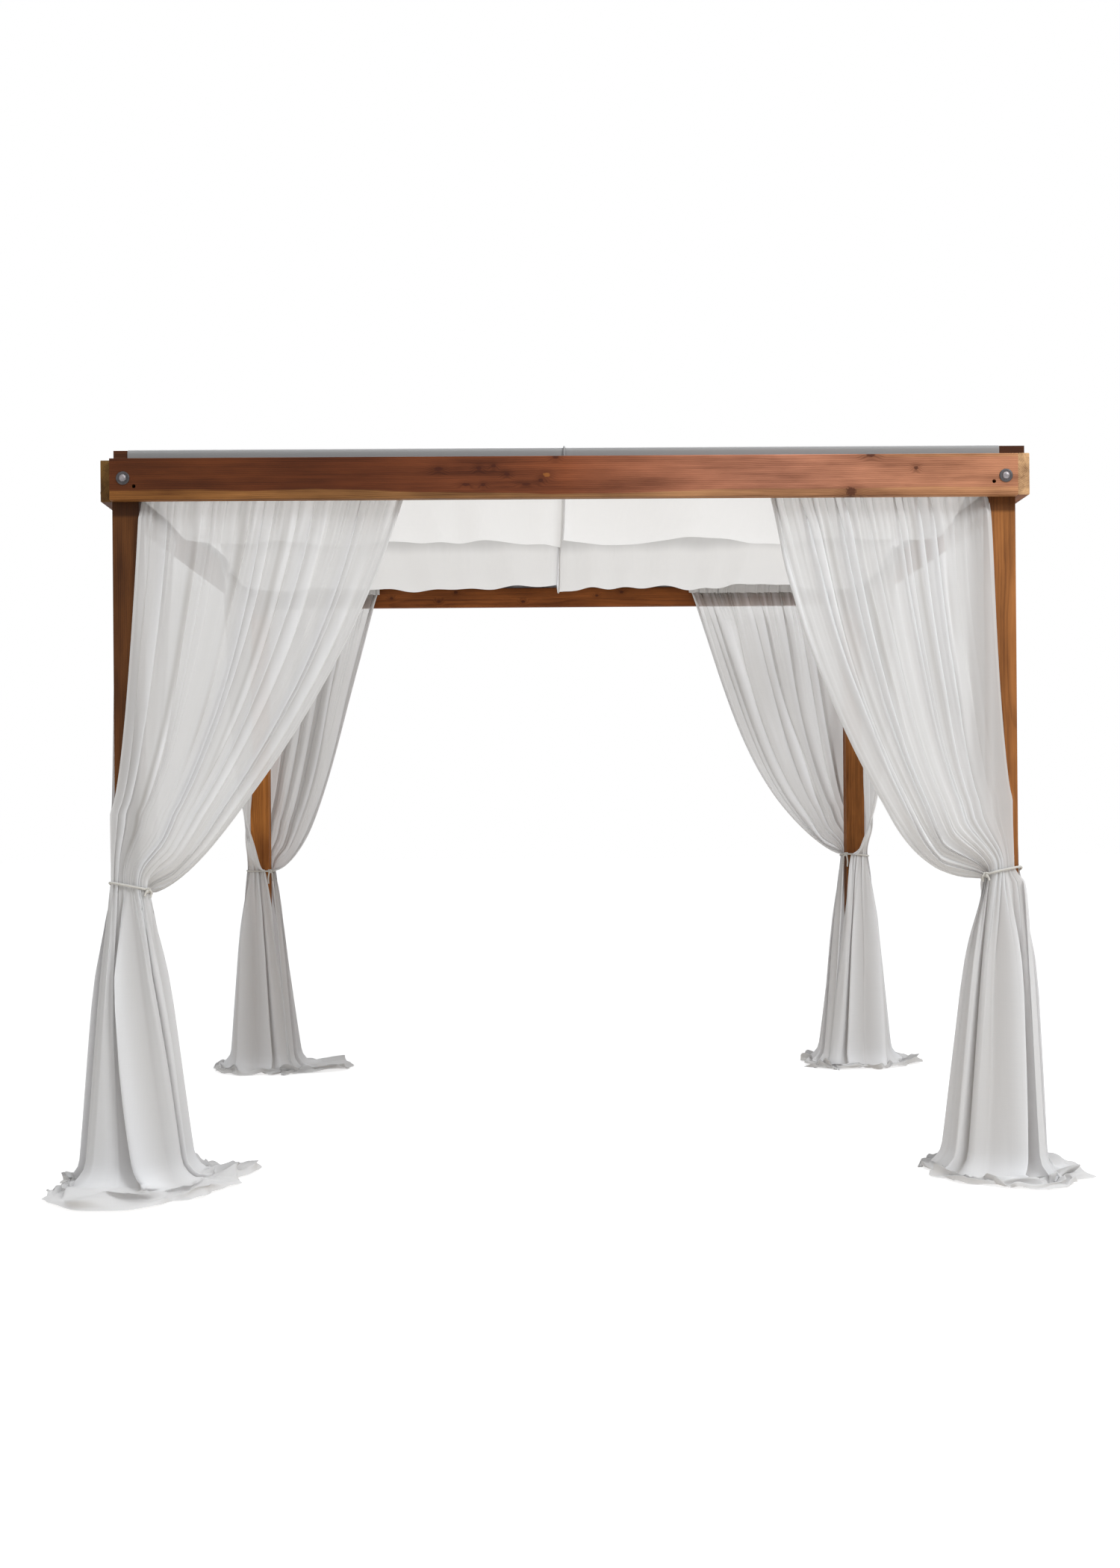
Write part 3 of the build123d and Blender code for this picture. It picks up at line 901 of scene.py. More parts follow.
def bolt_grid(centre, outward, washer, head):
    """A washer and a domed bolt head of given radii as one surface of revolution about the outward axis."""
    profile = np.array(
        [
            (washer, 0.0),
            (washer, 0.0016),
            (washer - 0.0007, 0.0026),
            (washer - 0.002, 0.003),
            (head + 0.001, 0.003),
            (head + 0.0002, 0.0028),
            (head, 0.0034),
            (head - 0.0003, 0.0045),
            (head * 0.9, 0.0066),
            (head * 0.72, 0.0087),
            (head * 0.46, 0.0101),
            (head * 0.2, 0.0107),
            (1e-5, 0.0108),
        ]
    )
    angle = np.linspace(0, TURN, BOLT_SIDES, endpoint=False)[None, :, None]
    up = np.array([0, 0, 1.0])
    ring = np.cos(angle) * np.cross(outward, up) + np.sin(angle) * up
    return centre + profile[:, :1, None] * ring + profile[:, 1:, None] * outward


def bolts_piece(side, values, material):
    """The two bolts through one beam's ends."""
    low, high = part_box(side + "_beam")
    axis = 1 if side in ("front", "back") else 0
    face = (low if side in ("front", "left") else high)[axis]
    outward = np.eye(3)[axis] * math.copysign(1, face)
    grids = []
    for along, height in BOLTS[side]:
        centre = np.array([along, face, height] if axis else [face, along, height])
        grids.append(bolt_grid(centre, outward, values.washer / 2, values.head / 2))
    rows = np.arange(len(grids[0])) >= WASHER_ROWS
    dome = np.tile(np.repeat(rows, BOLT_SIDES), len(grids))
    piece = mesh_object(side + "_beam_bolts", grids, True, material, True, dome=dome)


# Materials


def linear(red, green, blue):
    """A colour given as 0 to 255 steps of a screen, as Blender's scene-linear colour."""
    channels = np.array([red, green, blue]) / 255
    channels = np.where(channels <= 0.04045, channels / 12.92, ((channels + 0.055) / 1.055) ** 2.4)
    return (*[float(c) for c in channels], 1.0)


def times(colour, gain):
    """A colour with its channels times a gain."""
    return tuple(c * gain for c in colour[:3]) + (1.0,)


class Net:
    """A shader node tree in the making. What its methods take may be values or other nodes' outputs."""

    def __init__(self, made, sink):
        """Starts the tree of a new material, world or group with its output node, of the kind sink."""
        self.made = made
        if not isinstance(made, bpy.types.NodeTree):
            made.use_nodes = True
        self.tree = getattr(made, "node_tree", made)
        self.tree.nodes.clear()
        self.sink = self.tree.nodes.new(sink)

    def node(self, kind, inputs=(), **settings):
        """A new node with its settings and inputs."""
        made = self.tree.nodes.new("ShaderNode" + kind)
        for key, value in settings.items():
            setattr(made, key, value)
        for key, value in dict(inputs).items():
            if isinstance(value, bpy.types.NodeSocket):
                self.tree.links.new(value, made.inputs[key])
            else:
                made.inputs[key].default_value = value
        return made

    def add(self, kind, inputs=(), **settings):
        """The outputs of a new node."""
        return self.node(kind, inputs, **settings).outputs

    def finish(self, *results):
        """Links results to the output node, and gives the material, world or group."""
        for result, socket in zip(results, self.sink.inputs):
            self.tree.links.new(result, socket)
        return self.made

    def calc(self, operation, *values, clamp=False):
        """The output of a Math node."""
        return self.add("Math", enumerate(values), operation=operation, use_clamp=clamp)[0]

    def plus(self, first, second):
        """The sum of two numbers."""
        return self.calc("ADD", first, second)

    def product(self, first, second):
        """The product of two numbers."""
        return self.calc("MULTIPLY", first, second)

    def line(self, value, gain, shift, clamp=False):
        """A number times a gain, plus a shift."""
        return self.calc("MULTIPLY_ADD", value, gain, shift, clamp=clamp)

    def step(self, value, low, high, start=0.0, end=1.0):
        """A smooth step from start at low to end at high."""
        inputs = {0: value, 1: low, 2: high, 3: start, 4: end}
        return self.add("MapRange", inputs, interpolation_type="SMOOTHSTEP")[0]

    def vector(self, operation, *values, output=0):
        """The output of a Vector Math node."""
        return self.add("VectorMath", enumerate(values), operation=operation)[output]

    def split(self, vector):
        """The three parts of a vector."""
        return self.add("SeparateXYZ", {0: vector})

    def blend(self, factor, first, second, mode="MIX"):
        """The output of a colour Mix node."""
        return self.add("Mix", {0: factor, 6: first, 7: second}, data_type="RGBA", blend_type=mode)[2]

    def tint(self, colour, *by):
        """A colour times another."""
        return self.blend(1.0, colour, (*by, 1.0), "MULTIPLY")

    def ramp(self, factor, stops):
        """The colour of a Color Ramp node with the given places and colours."""
        made = self.node("ValToRGB", {0: factor})
        elements = made.color_ramp.elements
        while len(elements) < len(stops):
            elements.new(0.5)
        for element, (place, colour) in zip(elements, stops):
            element.position = place
            element.color = colour
        return made.outputs[0]

    def noise(self, vector, scale, stretch=(1, 1, 1), detail=3.0, rough=0.5, distortion=0.0):
        """The factor of a Noise node on a stretched vector."""
        mapped = self.add("Mapping", {"Vector": vector, "Scale": stretch})[0]
        inputs = {"Vector": mapped, "Scale": scale, "Detail": detail}
        return self.add("TexNoise", {**inputs, "Roughness": rough, "Distortion": distortion})[0]

    def bump(self, height, strength, distance):
        """The normal of a Bump node."""
        return self.add("Bump", {"Strength": strength, "Distance": distance, "Height": height})[0]

    def attribute(self, name):
        """The value of a mesh attribute."""
        return self.add("Attribute", attribute_name=name)["Fac"]

    def seen(self):
        """1 for what the camera sees, also in gloss and through glass, and 0 for what lights the object."""
        rays = self.add("LightPath")
        seen = self.calc("MAXIMUM", rays["Is Camera Ray"], rays["Is Glossy Ray"])
        return self.calc("MAXIMUM", seen, rays["Is Transmission Ray"])


def material_net(name):
    """The tree of a new material."""
    return Net(bpy.data.materials.new(name), "ShaderNodeOutputMaterial")


def group_net(name, inputs, outputs):
    """A new shader node group, and the outputs of its input node. Both sets of sockets are named here."""
    tree = bpy.data.node_groups.new(name, "ShaderNodeTree")
    for socket, (kind, default) in inputs.items():
        made = tree.interface.new_socket(socket, in_out="INPUT", socket_type="NodeSocket" + kind)
        if default is not None:
            made.default_value = default
    for socket, kind in outputs.items():
        tree.interface.new_socket(socket, in_out="OUTPUT", socket_type="NodeSocket" + kind)
    net = Net(tree, "NodeGroupOutput")
    return net, tree.nodes.new("NodeGroupInput").outputs


def board_group():
    """Sawn and stained timber with its grain along X.

    Growth rings are the fraction of the distance from the pith, which wanders along the board. Streaks
    and fibres are noise drawn out along X, and blotches are noise on a wide scale. They darken or lighten
    the base.
    """
    inputs = {
        "Vector": ("Vector", None),
        "Base": ("Color", (0.2, 0.1, 0.05, 1)),
        "Contrast": ("Float", 1.0),
        "Ring spacing": ("Float", 0.006),
        "Bend": ("Float", 0.0),
    }
    outputs = {"Color": "Color", "Roughness": "Float", "Height": "Float"}
    net, source = group_net("board_grain", inputs, outputs)
    vector, base, contrast, spacing, bend = list(source)[:5]
    place = net.split(vector)
    sway = net.noise(vector, 1.0, (0.9, 5, 5), 3)
    roll = net.noise(vector, 1.0, (1.7, 8, 8), 2)
    y = net.plus(place[1], net.line(sway, 0.06, -0.03))
    z = net.plus(place[2], net.line(roll, 0.03, -0.015))
    square = net.plus(net.product(y, y), net.product(z, z))
    distance = net.plus(net.calc("SQRT", square), bend)
    share = net.calc("FRACT", net.calc("DIVIDE", distance, spacing))
    late = net.product(net.step(share, 0.25, 0.86), net.step(share, 0.88, 1.0, 1.0, 0.0))
    streak = net.noise(vector, 1.0, (1.3, 60, 60), 5, 0.65, 0.3)
    fibre = net.noise(vector, 1.0, (14, 420, 420), 2, 0.6)
    blotch = net.noise(vector, 1.0, (3.2, 13, 13), 4)
    tone = net.line(late, -0.42, 0.16)
    for layer, strength in ((streak, 2.4), (fibre, 0.7), (blotch, 2.8)):
        tone = net.plus(tone, net.line(layer, strength, -strength / 2))
    level = net.line(net.product(tone, contrast), 0.5, 0.5, clamp=True)
    colour = net.blend(level, net.tint(base, 0.34, 0.29, 0.26), net.tint(base, 1.22, 1.24, 1.22))
    height = net.line(fibre, 0.6, net.product(late, 0.4))
    return net.finish(colour, net.line(fibre, 0.25, 0.5), height)


def knot_group():
    """A knot on a board's face: an oval mask with a ragged edge, and a wide one that bends the rings."""
    inputs = {
        "Vector": ("Vector", None),
        "Centre": ("Vector", (0, 0, 0)),
        "Size": ("Vector", (0.01, 0.01, 1)),
    }
    net, source = group_net("knot", inputs, {"Mask": "Float", "Swirl": "Float"})
    share = net.vector("DIVIDE", net.vector("SUBTRACT", source[0], source[1]), source[2])
    distance = net.vector("LENGTH", share, output="Value")
    ragged = net.line(net.noise(source[0], 160, detail=2), 0.5, -0.25)
    mask = net.step(net.plus(distance, ragged), 0.35, 0.58, 1.0, 0.0)
    return net.finish(mask, net.step(distance, 0.2, 1.9, 1.0, 0.0))


def weave_group():
    """A plain weave on a UV map in metres: the product of two thread waves, with slubs and soft creases.

    The curtains and the ceiling share one group.
    """
    if "weave" in bpy.data.node_groups:
        return bpy.data.node_groups["weave"]
    inputs = {"Vector": ("Vector", None), "Thread": ("Float", 0.0011), "Creases": ("Float", 1.0)}
    net, source = group_net("weave", inputs, {"Height": "Float", "Tone": "Float"})
    place = net.split(source[0])
    turns = net.calc("DIVIDE", TURN, source[1])
    warp = net.calc("SINE", net.product(place[0], turns))
    weft = net.calc("SINE", net.product(place[1], turns))
    down = net.noise(source[0], 1.0, (420, 9, 1), 2)
    cross = net.noise(source[0], 1.0, (9, 420, 1), 2)
    creases = net.noise(source[0], 5.0, (1.6, 0.7, 1), 3, 0.5, 0.4)
    slubs = net.plus(down, cross)
    height = net.line(net.product(warp, weft), 0.02, net.product(slubs, 0.015))
    return net.finish(net.plus(net.product(creases, source[2]), height), net.product(slubs, 0.5))


def cloth_material(name, values, creases):
    """Thin woven cloth: a matt front, light coming through from behind, and a share that is see-through.

    The fold attribute lightens the cloth where it lies in two layers and with a painted highlight on the
    crests, and darkens it with painted shade in creases and in the gathers' valleys. The shade attribute
    paints shade by a batten. The closed attribute makes it opaque where layers lie on each other.
    """
    net = material_net(name)
    colour = tuple(values.colour)
    uv = net.add("UVMap", uv_map="cloth")[0]
    height, tone = net.add("Group", {"Vector": uv, "Creases": creases}, node_tree=weave_group())
    normal = net.bump(height, 0.2, 0.006)
    shade = net.blend(net.step(tone, 0.35, 0.65), times(colour, 0.985), colour)
    shade = net.blend(net.attribute("shade"), shade, times(colour, 0.55))
    # Painted light and shade of the folds, with lighter cloth where it lies in two layers and at the hems
    layers_and_painted_light = net.line(net.attribute("fold"), 0.5, 0.5, clamp=True)
    shade = net.blend(layers_and_painted_light, net.tint(shade, 0.7, 0.675, 0.64), net.tint(shade, 1.22, 1.22, 1.22))
    matt = {"Base Color": shade, "Roughness": 0.85, "Specular IOR Level": 0.25, "Normal": normal}
    front = net.add("BsdfPrincipled", {**matt, "Sheen Weight": 0.12, "Sheen Roughness": 0.5})[0]
    through = net.add("BsdfTranslucent", {"Color": shade, "Normal": normal})[0]
    lit = net.add("MixShader", {0: values.glow, 1: front, 2: through})[0]
    cover = net.line(net.attribute("closed"), 1.0 - values.opacity, values.opacity, clamp=True)
    clear = net.add("BsdfTransparent")[0]
    return net.finish(net.add("MixShader", {0: cover, 1: clear, 2: lit})[0])


# How the grain of each kind of member turns onto X
ALONG = {"x": (0, 0, 0), "y": (0, 0, -math.pi / 2), "z": (0, math.pi / 2, 0)}
AXES = {"x": (1, 0, 0), "y": (0, 1, 0), "z": (0, 0, 1)}

# Stain of each timber member, and of its end grain, in screen steps; the grain's axis; the pith's place
# across the member, measured from its middle. The front beam's stain is FRONT_STAIN.
Timber = namedtuple("Timber", "axis stain ends pith")

TIMBER = {
    "front_beam": Timber("x", None, (116, 80, 38), (0.02, -0.075)),
    "back_beam": Timber("x", (140, 80, 38), (150, 104, 58), (-0.03, 0.06)),
    "left_beam": Timber("y", (98, 56, 28), (118, 86, 44), (0.04, 0.09)),
    "right_beam": Timber("y", (146, 92, 56), (206, 164, 122), (0.05, -0.08)),
    "front_batten": Timber("x", (88, 50, 28), (80, 48, 28), (0.03, 0.04)),
    "middle_batten": Timber("x", (116, 72, 40), (130, 92, 56), (-0.04, 0.03)),
    "back_batten": Timber("x", (114, 70, 38), (130, 92, 56), (0.02, -0.05)),
    "front_left_post": Timber("z", (95, 57, 28), (128, 90, 50), (0.05, 0.06)),
    "front_right_post": Timber("z", (152, 97, 52), (170, 120, 76), (-0.06, 0.05)),
    "back_left_post": Timber("z", (194, 124, 62), (196, 138, 80), (0.07, -0.04)),
    "back_right_post": Timber("z", (150, 94, 47), (160, 110, 62), (-0.05, -0.07)),
}

# How far apart along the grain two members are cut from the same pattern
TIMBER_STEP = 3.7

# The front beam's stain from its left end to its right end, and the golden sapwood along its lower edge:
# place along the beam, colour and the height of the strip as a share of a tenth of a metre
FRONT_STAIN = (
    (0.0, linear(90, 46, 20)),
    (0.27, linear(94, 47, 23)),
    (0.5, linear(128, 70, 43)),
    (0.74, linear(181, 121, 96)),
    (1.0, linear(186, 127, 96)),
)
SAPWOOD = ((0.0, linear(150, 98, 48)), (0.5, linear(150, 112, 74)), (1.0, linear(192, 138, 98)))
SAPWOOD_HEIGHT = ((0.0, 0.33), (0.28, 0.3), (0.48, 0.14), (0.72, 0.26), (1.0, 0.26))

# Knots of the front beam's outer face and the back beam's inner face: place along the beam and height in
# metres, width, height, and whether the knot is dark or golden
KNOTS = {
    "front_beam": (
        (-0.424, 2.396, 0.018, 0.012, True),
        (-0.332, 2.343, 0.02, 0.007, True),
        (-0.289, 2.397, 0.013, 0.01, True),
        (-0.275, 2.342, 0.01, 0.008, True),
        (-0.239, 2.405, 0.011, 0.009, True),
        (-0.195, 2.377, 0.013, 0.01, True),
        (-0.13, 2.343, 0.022, 0.006, True),
        (-0.082, 2.356, 0.012, 0.009, True),
        (-0.062, 2.374, 0.015, 0.011, False),
        (-0.031, 2.434, 0.014, 0.01, True),
        (0.96, 2.312, 0.024, 0.022, True),
        (1.028, 2.436, 0.02, 0.012, True),
        (1.18, 2.39, 0.01, 0.009, True),
    ),
    "back_beam": (
        (-0.824, 2.345, 0.012, 0.009, True),
        (-0.588, 2.328, 0.013, 0.01, True),
        (-0.502, 2.373, 0.014, 0.011, True),
        (-0.165, 2.325, 0.013, 0.01, True),
        (0.205, 2.352, 0.012, 0.009, True),
        (0.329, 2.369, 0.015, 0.01, True),
    ),
}


def with_sapwood(net, base, place, spot, along):
    """The front beam's base colour with golden strips at its lower edge and at the top near its right end."""
    heights = [(at, (share, share, share, 1.0)) for at, share in SAPWOOD_HEIGHT]
    reach = net.product(net.ramp(along, heights), 0.1)
    waver = net.line(net.noise(spot, 1.0, (2.6, 20, 30), 4), 0.022, -0.011)
    above = net.plus(net.plus(place[2], -BEAM_BOTTOM), waver)
    lower = net.step(net.calc("SUBTRACT", above, reach), -0.004, 0.003, 1.0, 0.0)
    upper = net.product(net.step(above, 0.124, 0.134), net.step(along, 0.8, 0.92))
    mask = net.product(net.calc("MAXIMUM", lower, upper), 0.8)
    return net.blend(mask, base, net.ramp(along, SAPWOOD))


def timber_material(node, board, knot, values):
    """The stained timber of one member, with its own pith, stain, end grain and, on two beams, knots.

    The tops of the posts, just under the beams, get a painted shadow of the beams.
    """
    timber = TIMBER[node]
    net = material_net(node + "_timber")
    low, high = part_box(node)
    spot = net.add("TexCoord")["Object"]
    place = net.split(spot)
    along = net.add("MapRange", {0: place[0], 1: -HALF_WIDTH, 2: HALF_WIDTH})[0]
    base = linear(*timber.stain) if timber.stain else net.ramp(along, FRONT_STAIN)
    if node == "front_beam":
        base = with_sapwood(net, base, place, spot, along)
    knots, bend = [], 0.0
    for x, z, width, height, dark in KNOTS.get(node, ()):
        oval = {"Vector": spot, "Centre": (x, low.y, z), "Size": (width * 1.5, 1.0, height * 1.4)}
        mask, swirl = net.add("Group", oval, node_tree=knot)
        knots.append((mask, swirl, dark))
        bend = net.line(swirl, 0.012, bend)
    centred = net.vector("SUBTRACT", spot, tuple((low + high) / 2))
    offset = (TIMBER_STEP * sorted(TIMBER).index(node), *timber.pith)
    vector = net.add("Mapping", {"Vector": centred, "Rotation": ALONG[timber.axis], "Location": offset})[0]
    contrast, spacing = values.contrast, values.ring_spacing
    inputs = {"Vector": vector, "Base": base, "Contrast": contrast, "Ring spacing": spacing, "Bend": bend}
    colour, rough, height = net.add("Group", inputs, node_tree=board)
    for mask, swirl, dark in knots:
        colour = net.blend(net.product(swirl, 0.55), colour, net.tint(colour, 0.52, 0.46, 0.42))
        core = linear(62, 26, 15) if dark else linear(150, 92, 44)
        colour = net.blend(net.product(mask, 0.75), colour, core)
    if timber.axis == "z":
        # Painted shadow of the beam across the top of each post
        painted_beam_shadow = net.step(place[2], BEAM_BOTTOM - 0.056, BEAM_BOTTOM - 0.042)
        colour = net.blend(painted_beam_shadow, colour, (0.42, 0.38, 0.34, 1.0), "MULTIPLY")
    facing = net.add("NewGeometry")["Normal"]
    turned = net.vector("DOT_PRODUCT", facing, AXES[timber.axis], output="Value")
    at_end = net.step(net.calc("ABSOLUTE", turned), 0.8, 0.95)
    inputs.update({"Base": linear(*timber.ends), "Ring spacing": spacing * 0.8})
    colour = net.blend(at_end, colour, net.add("Group", inputs, node_tree=board)[0])
    normal = net.bump(height, 0.35, 0.0012)
    inputs = {"Base Color": colour, "Roughness": rough, "Specular IOR Level": 0.14, "Normal": normal}
    return net.finish(net.add("BsdfPrincipled", inputs)[0])


def metal_material(name, colour, roughness):
    """Dark steel with uneven polish, brighter where the dome attribute is 1."""
    net = material_net(name)
    spot = net.add("TexCoord")["Object"]
    patches = net.noise(spot, 45, detail=4)
    plain = net.blend(net.attribute("dome"), colour, times(colour, 3.2))
    shade = net.blend(net.step(patches, 0.35, 0.7), plain, (0.6, 0.6, 0.6, 1.0), "MULTIPLY")
    normal = net.bump(net.noise(spot, 260, detail=2), 0.2, 0.0006)
    rough = net.line(patches, 0.3, roughness - 0.15)
    inputs = {"Base Color": shade, "Metallic": 0.9, "Roughness": rough, "Normal": normal}
    return net.finish(net.add("BsdfPrincipled", inputs)[0])


def cord_material(name, colour):
    """Soft cotton cord with fine fibres."""
    net = material_net(name)
    spot = net.add("TexCoord")["Object"]
    shade = net.blend(net.noise(spot, 60, detail=2), times(colour, 0.8), colour)
    normal = net.bump(net.noise(spot, 900, detail=3), 0.4, 0.0008)
    inputs = {"Base Color": shade, "Roughness": 0.9, "Sheen Weight": 0.2, "Normal": normal}
    return net.finish(net.add("BsdfPrincipled", inputs)[0])


def paint(node, material):
    """Gives a CAD node that stays in view its material."""
    slots = bpy.data.objects[node].data.materials
    slots.clear()
    slots.append(material)


# Properties


def number(name, description, default, least=0, **options):
    """A property that holds a number; the options are its unit, subtype and limits."""
    options.update(name=name, description=description, default=default, min=least)
    return bpy.props.FloatProperty(**options)


def length(*words):
    """A property that holds a length."""
    return number(*words, unit="LENGTH", subtype="DISTANCE", precision=4)


def share(*words):
    """A property that holds a share."""
    return number(*words, subtype="FACTOR", max=1)


def swatch(name, description, *default):
    """A property that holds an opaque colour."""
    options = {"name": name, "description": description, "default": (*default, 1.0)}
    return bpy.props.FloatVectorProperty(subtype="COLOR", size=4, min=0, max=1, **options)


class CabanaCurtains(bpy.types.PropertyGroup):
    """Folds and cloth of the curtains."""

    fine_fold: length("Fine folds", "Height of the gathers", 0.0065)
    middle_fold: share("Middle folds", "Height of a middle fold as a share of its width", 0.4)
    broad_fold: share("Broad folds", "Strength of the skirts' broad folds", 1.0)
    hem: length("Hem", "Radius of the rolled edge", 0.004)
    colour: swatch("Cloth", "Colour of the curtain cloth", 0.735, 0.735, 0.745)
    opacity: share("Opacity", "How closed one layer of the cloth is", 0.89)
    glow: share("Glow", "Share of the light that comes through the cloth", 0.3)


class CabanaCeiling(bpy.types.PropertyGroup):
    """Sag and cloth of the ceiling."""

    front_drop: length("Front swag", "Sag of the front swag", 0.188)
    back_drop: length("Back swag", "Sag of the back swag", 0.178)
    wave: length("Waves", "Height of the waves across a swag", 0.014)
    colour: swatch("Cloth", "Colour of the ceiling cloth", 0.8, 0.805, 0.82)
    opacity: share("Opacity", "How closed one layer of the cloth is", 0.97)
    glow: share("Glow", "Share of the light that comes through the cloth", 0.36)


class CabanaTimber(bpy.types.PropertyGroup):
    """Grain of the stained timber."""

    contrast: number("Contrast", "Strength of the grain", 1.0)
    ring_spacing: length("Ring spacing", "Distance between growth rings", 0.0065)


class CabanaFittings(bpy.types.PropertyGroup):
    """Cords, bolts and rods."""

    cord_diameter: length("Cord", "Diameter of the tie cord", 0.008)
    tail: length("Tail", "Length of the longer tail below the knot", 0.062)
    cord_colour: swatch("Cord colour", "Colour of the cord", 0.62, 0.6, 0.56)
    washer: length("Washer", "Diameter of the washers", 0.045)
    head: length("Bolt head", "Diameter of the bolt heads", 0.026)
    metal_colour: swatch("Metal", "Colour of bolts and rods", 0.085, 0.078, 0.08)


class CabanaStage(bpy.types.PropertyGroup):
    """Camera, floor and light."""

    lens: number("Lens", "Focal length", 42.12, 1, unit="CAMERA")
    shift: number("Shift", "Upward shift of the camera's frame", 0.0274)
    floor_colour: swatch("Floor", "Colour of the floor", 0.81, 0.755, 0.68)
    key: number("Key light", "Power on the right", 380, unit="POWER")
    fill: number("Fill light", "Power on the left", 38, unit="POWER")
    top: number("Top light", "Power above", 128, unit="POWER")
    sky: number("Sky", "Strength of the even light", 0.6)


GROUPS = {
    "cabana_curtains": CabanaCurtains,
    "cabana_ceiling": CabanaCeiling,
    "cabana_timber": CabanaTimber,
    "cabana_fittings": CabanaFittings,
    "cabana_stage": CabanaStage,
}


# Stage

CAMERA_PLACE = (-0.101, -7.693, 1.193)
CAMERA_YAW = 0.0121
CAMERA_ROLL = -0.0082
SENSOR_WIDTH = 36
CLIP_END = 200

# The soft lights: name, place, target and size
LAMPS = (
    ("key", (4.9, -6.0, 6.8), (0.3, 0, 1.0), 2.8),
    ("fill", (-5.6, -6.2, 2.3), (-0.3, 0, 1.4), 4.5),
    ("top", (0.4, -1.6, 6.2), (0, -0.6, 0), 4.0),
)
LAMP_COLOUR = (0.955, 0.98, 1.0)

# Half the floor's side, its colour to the camera, and the light of its own that lifts it to white there
FLOOR_REACH = 60.0
FLOOR_SEEN = (0.82, 0.82, 0.82, 1.0)
FLOOR_LIFT = 0.6
WHITE = (1, 1, 1, 1)


def make_camera(lens, shift):
    """The camera at the photograph's view."""
    camera = bpy.data.objects.new("camera", bpy.data.cameras.new("camera"))
    camera.data.lens = lens
    camera.data.sensor_width = SENSOR_WIDTH
    camera.data.shift_y = shift
    camera.data.clip_end = CLIP_END
    turn = Matrix.Rotation(-CAMERA_YAW, 4, "Z") @ Matrix.Rotation(math.pi / 2, 4, "X")
    camera.matrix_world = Matrix.Translation(CAMERA_PLACE) @ turn @ Matrix.Rotation(CAMERA_ROLL, 4, "Z")
    bpy.context.scene.collection.objects.link(camera)
    bpy.context.scene.camera = camera


def make_light(name, place, target, size, power):
    """A square area light at a place, turned towards a target."""
    lamp = bpy.data.lights.new(name, "AREA")
    lamp.shape = "SQUARE"
    lamp.size = size
    lamp.energy = power
    lamp.color = LAMP_COLOUR
    made = bpy.data.objects.new(name, lamp)
    made.location = place
    made.rotation_euler = (Vector(target) - Vector(place)).to_track_quat("-Z", "Y").to_euler()
    bpy.context.scene.collection.objects.link(made)


def make_floor(colour):
    """A wide plane, white to the camera where no shadow falls, that lights the cloth with its colour."""
    net = material_net("floor")
    seen = net.seen()
    matt = net.add("BsdfDiffuse", {"Color": net.blend(seen, tuple(colour), FLOOR_SEEN)})[0]
    lift = net.add("Emission", {"Color": WHITE, "Strength": net.product(seen, FLOOR_LIFT)})[0]
    white = net.finish(net.add("AddShader", {0: matt, 1: lift})[0])
    side = np.linspace(-FLOOR_REACH, FLOOR_REACH, 3)
    x, y = np.meshgrid(side, side)
    mesh = bpy.data.meshes.new("floor")
    mesh.from_pydata(np.stack([x, y, 0 * x], axis=-1).reshape(-1, 3), [], quads_of(3, 3))
    mesh.materials.append(white)
    floor = bpy.data.objects.new("floor", mesh)
    bpy.context.scene.collection.objects.link(floor)


def make_sky(strength):
    """White behind everything, and an even light from all sides."""
    net = Net(bpy.data.worlds.new("studio"), "ShaderNodeOutputWorld")
    seen = net.seen()
    colour = net.blend(seen, (*LAMP_COLOUR, 1.0), WHITE)
    level = net.line(seen, 1.0 - strength, strength)
    bpy.context.scene.world = net.finish(net.add("Background", {"Color": colour, "Strength": level})[0])


# Operators


class CABANA_OT_stage(bpy.types.Operator):
    """Camera at the photograph's view, pale floor and soft light"""

    bl_idname = "cabana.stage"
    bl_label = "Stage"

    def execute(self, context):
        values = context.scene.cabana_stage
        context.scene.view_settings.view_transform = "Standard"
        make_camera(values.lens, values.shift)
        for name, place, target, size in LAMPS:
            make_light(name + "_light", place, target, size, getattr(values, name))
        make_floor(values.floor_colour)
        make_sky(values.sky)
        return {"FINISHED"}


class CABANA_OT_timber(bpy.types.Operator):
    """Stained timber on posts, beams and battens"""

    bl_idname = "cabana.timber"
    bl_label = "Timber"

    def execute(self, context):
        values = context.scene.cabana_timber
        board, knot = board_group(), knot_group()
        for node in TIMBER:
            paint(node, timber_material(node, board, knot, values))
        return {"FINISHED"}


class CABANA_OT_curtains(bpy.types.Operator):
    """Eight gathered curtains that spread on the ground"""

    bl_idname = "cabana.curtains"
    bl_label = "Curtains"

    def execute(self, context):
        values = context.scene.cabana_curtains
        cloth = cloth_material("curtain_cloth", values, 0.3)
        for drape in DRAPES:
            curtain(drape, values, cloth)
        return {"FINISHED"}


class CABANA_OT_ceiling(bpy.types.Operator):
    """Two cloth panels over the battens"""

    bl_idname = "cabana.ceiling"
    bl_label = "Ceiling"

    def execute(self, context):
        values = context.scene.cabana_ceiling
        cloth = cloth_material("ceiling_cloth", values, 0.6)
        for side in SLIT_DROP:
            ceiling_panel(side, values, cloth)
        return {"FINISHED"}


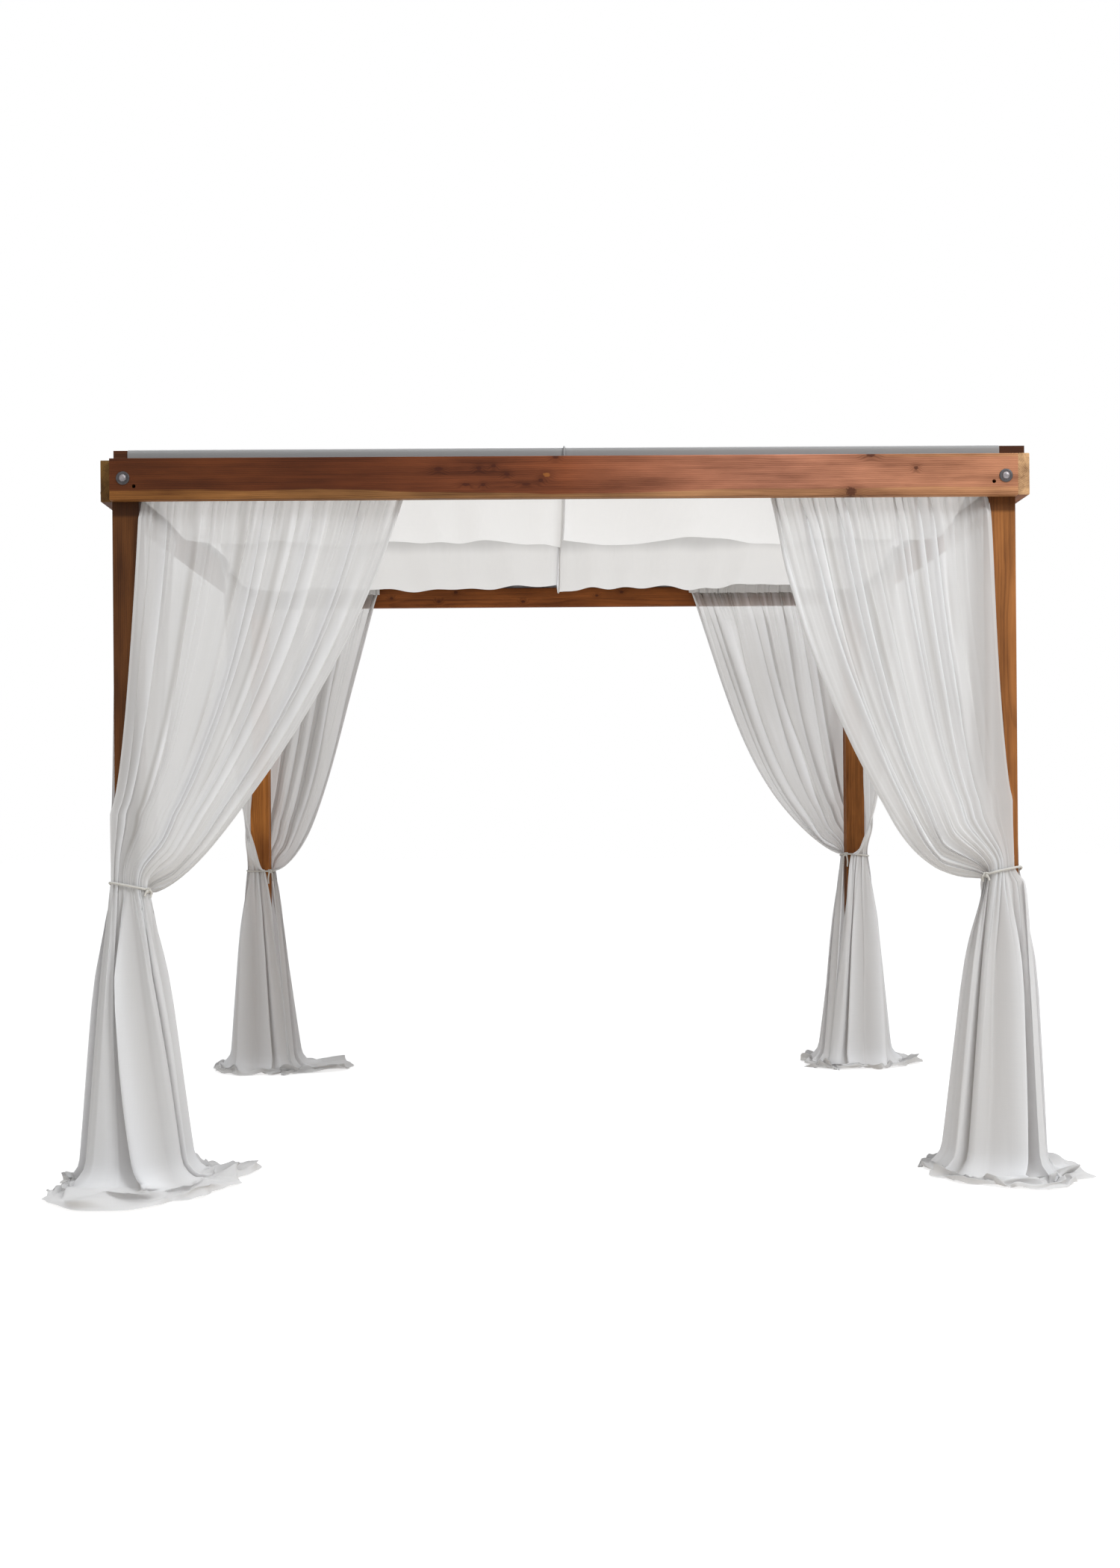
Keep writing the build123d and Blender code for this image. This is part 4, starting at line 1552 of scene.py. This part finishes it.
class CABANA_OT_ties(bpy.types.Operator):
    """Four cords round the posts and curtains"""

    bl_idname = "cabana.ties"
    bl_label = "Ties"

    def execute(self, context):
        values = context.scene.cabana_fittings
        cord = cord_material("tie_cord", tuple(values.cord_colour))
        for corner in CORNERS:
            tie_piece(corner, values, cord)
        return {"FINISHED"}


class CABANA_OT_metal(bpy.types.Operator):
    """Bolts in the beams, and dark steel on the rods"""

    bl_idname = "cabana.metal"
    bl_label = "Bolts and rods"

    def execute(self, context):
        values = context.scene.cabana_fittings
        steel = metal_material("bolt_steel", tuple(values.metal_colour), 0.45)
        painted = metal_material("rod_steel", tuple(values.metal_colour), 0.35)
        for side in BOLTS:
            bolts_piece(side, values, steel)
            paint(side + "_rod", painted)
        return {"FINISHED"}


STEPS = (
    CABANA_OT_stage,
    CABANA_OT_timber,
    CABANA_OT_curtains,
    CABANA_OT_ceiling,
    CABANA_OT_ties,
    CABANA_OT_metal,
)


class CABANA_PT_panel(bpy.types.Panel):
    """Lists the steps that finish the cabana"""

    bl_idname = "CABANA_PT_panel"
    bl_label = "Cabana"
    bl_space_type = "VIEW_3D"
    bl_region_type = "UI"
    bl_category = "Cabana"

    def draw(self, context):
        """Shows each step's button and each group's properties."""
        for step in STEPS:
            self.layout.operator(step.bl_idname)
        for name, kind in GROUPS.items():
            box = self.layout.box()
            for key in kind.__annotations__:
                box.prop(getattr(context.scene, name), key)


CLASSES = (*GROUPS.values(), *STEPS, CABANA_PT_panel)


def register():
    """Registers the classes and hangs the property groups on the scene."""
    for item in CLASSES:
        bpy.utils.register_class(item)
    for name, kind in GROUPS.items():
        setattr(bpy.types.Scene, name, bpy.props.PointerProperty(type=kind))


def unregister():
    """Takes them away again."""
    for name in GROUPS:
        delattr(bpy.types.Scene, name)
    for item in reversed(CLASSES):
        bpy.utils.unregister_class(item)


def main():
    register()
    bpy.ops.cabana.stage()
    bpy.ops.cabana.timber()
    bpy.ops.cabana.curtains()
    bpy.ops.cabana.ceiling()
    bpy.ops.cabana.ties()
    bpy.ops.cabana.metal()


if __name__ == "__main__":
    main()
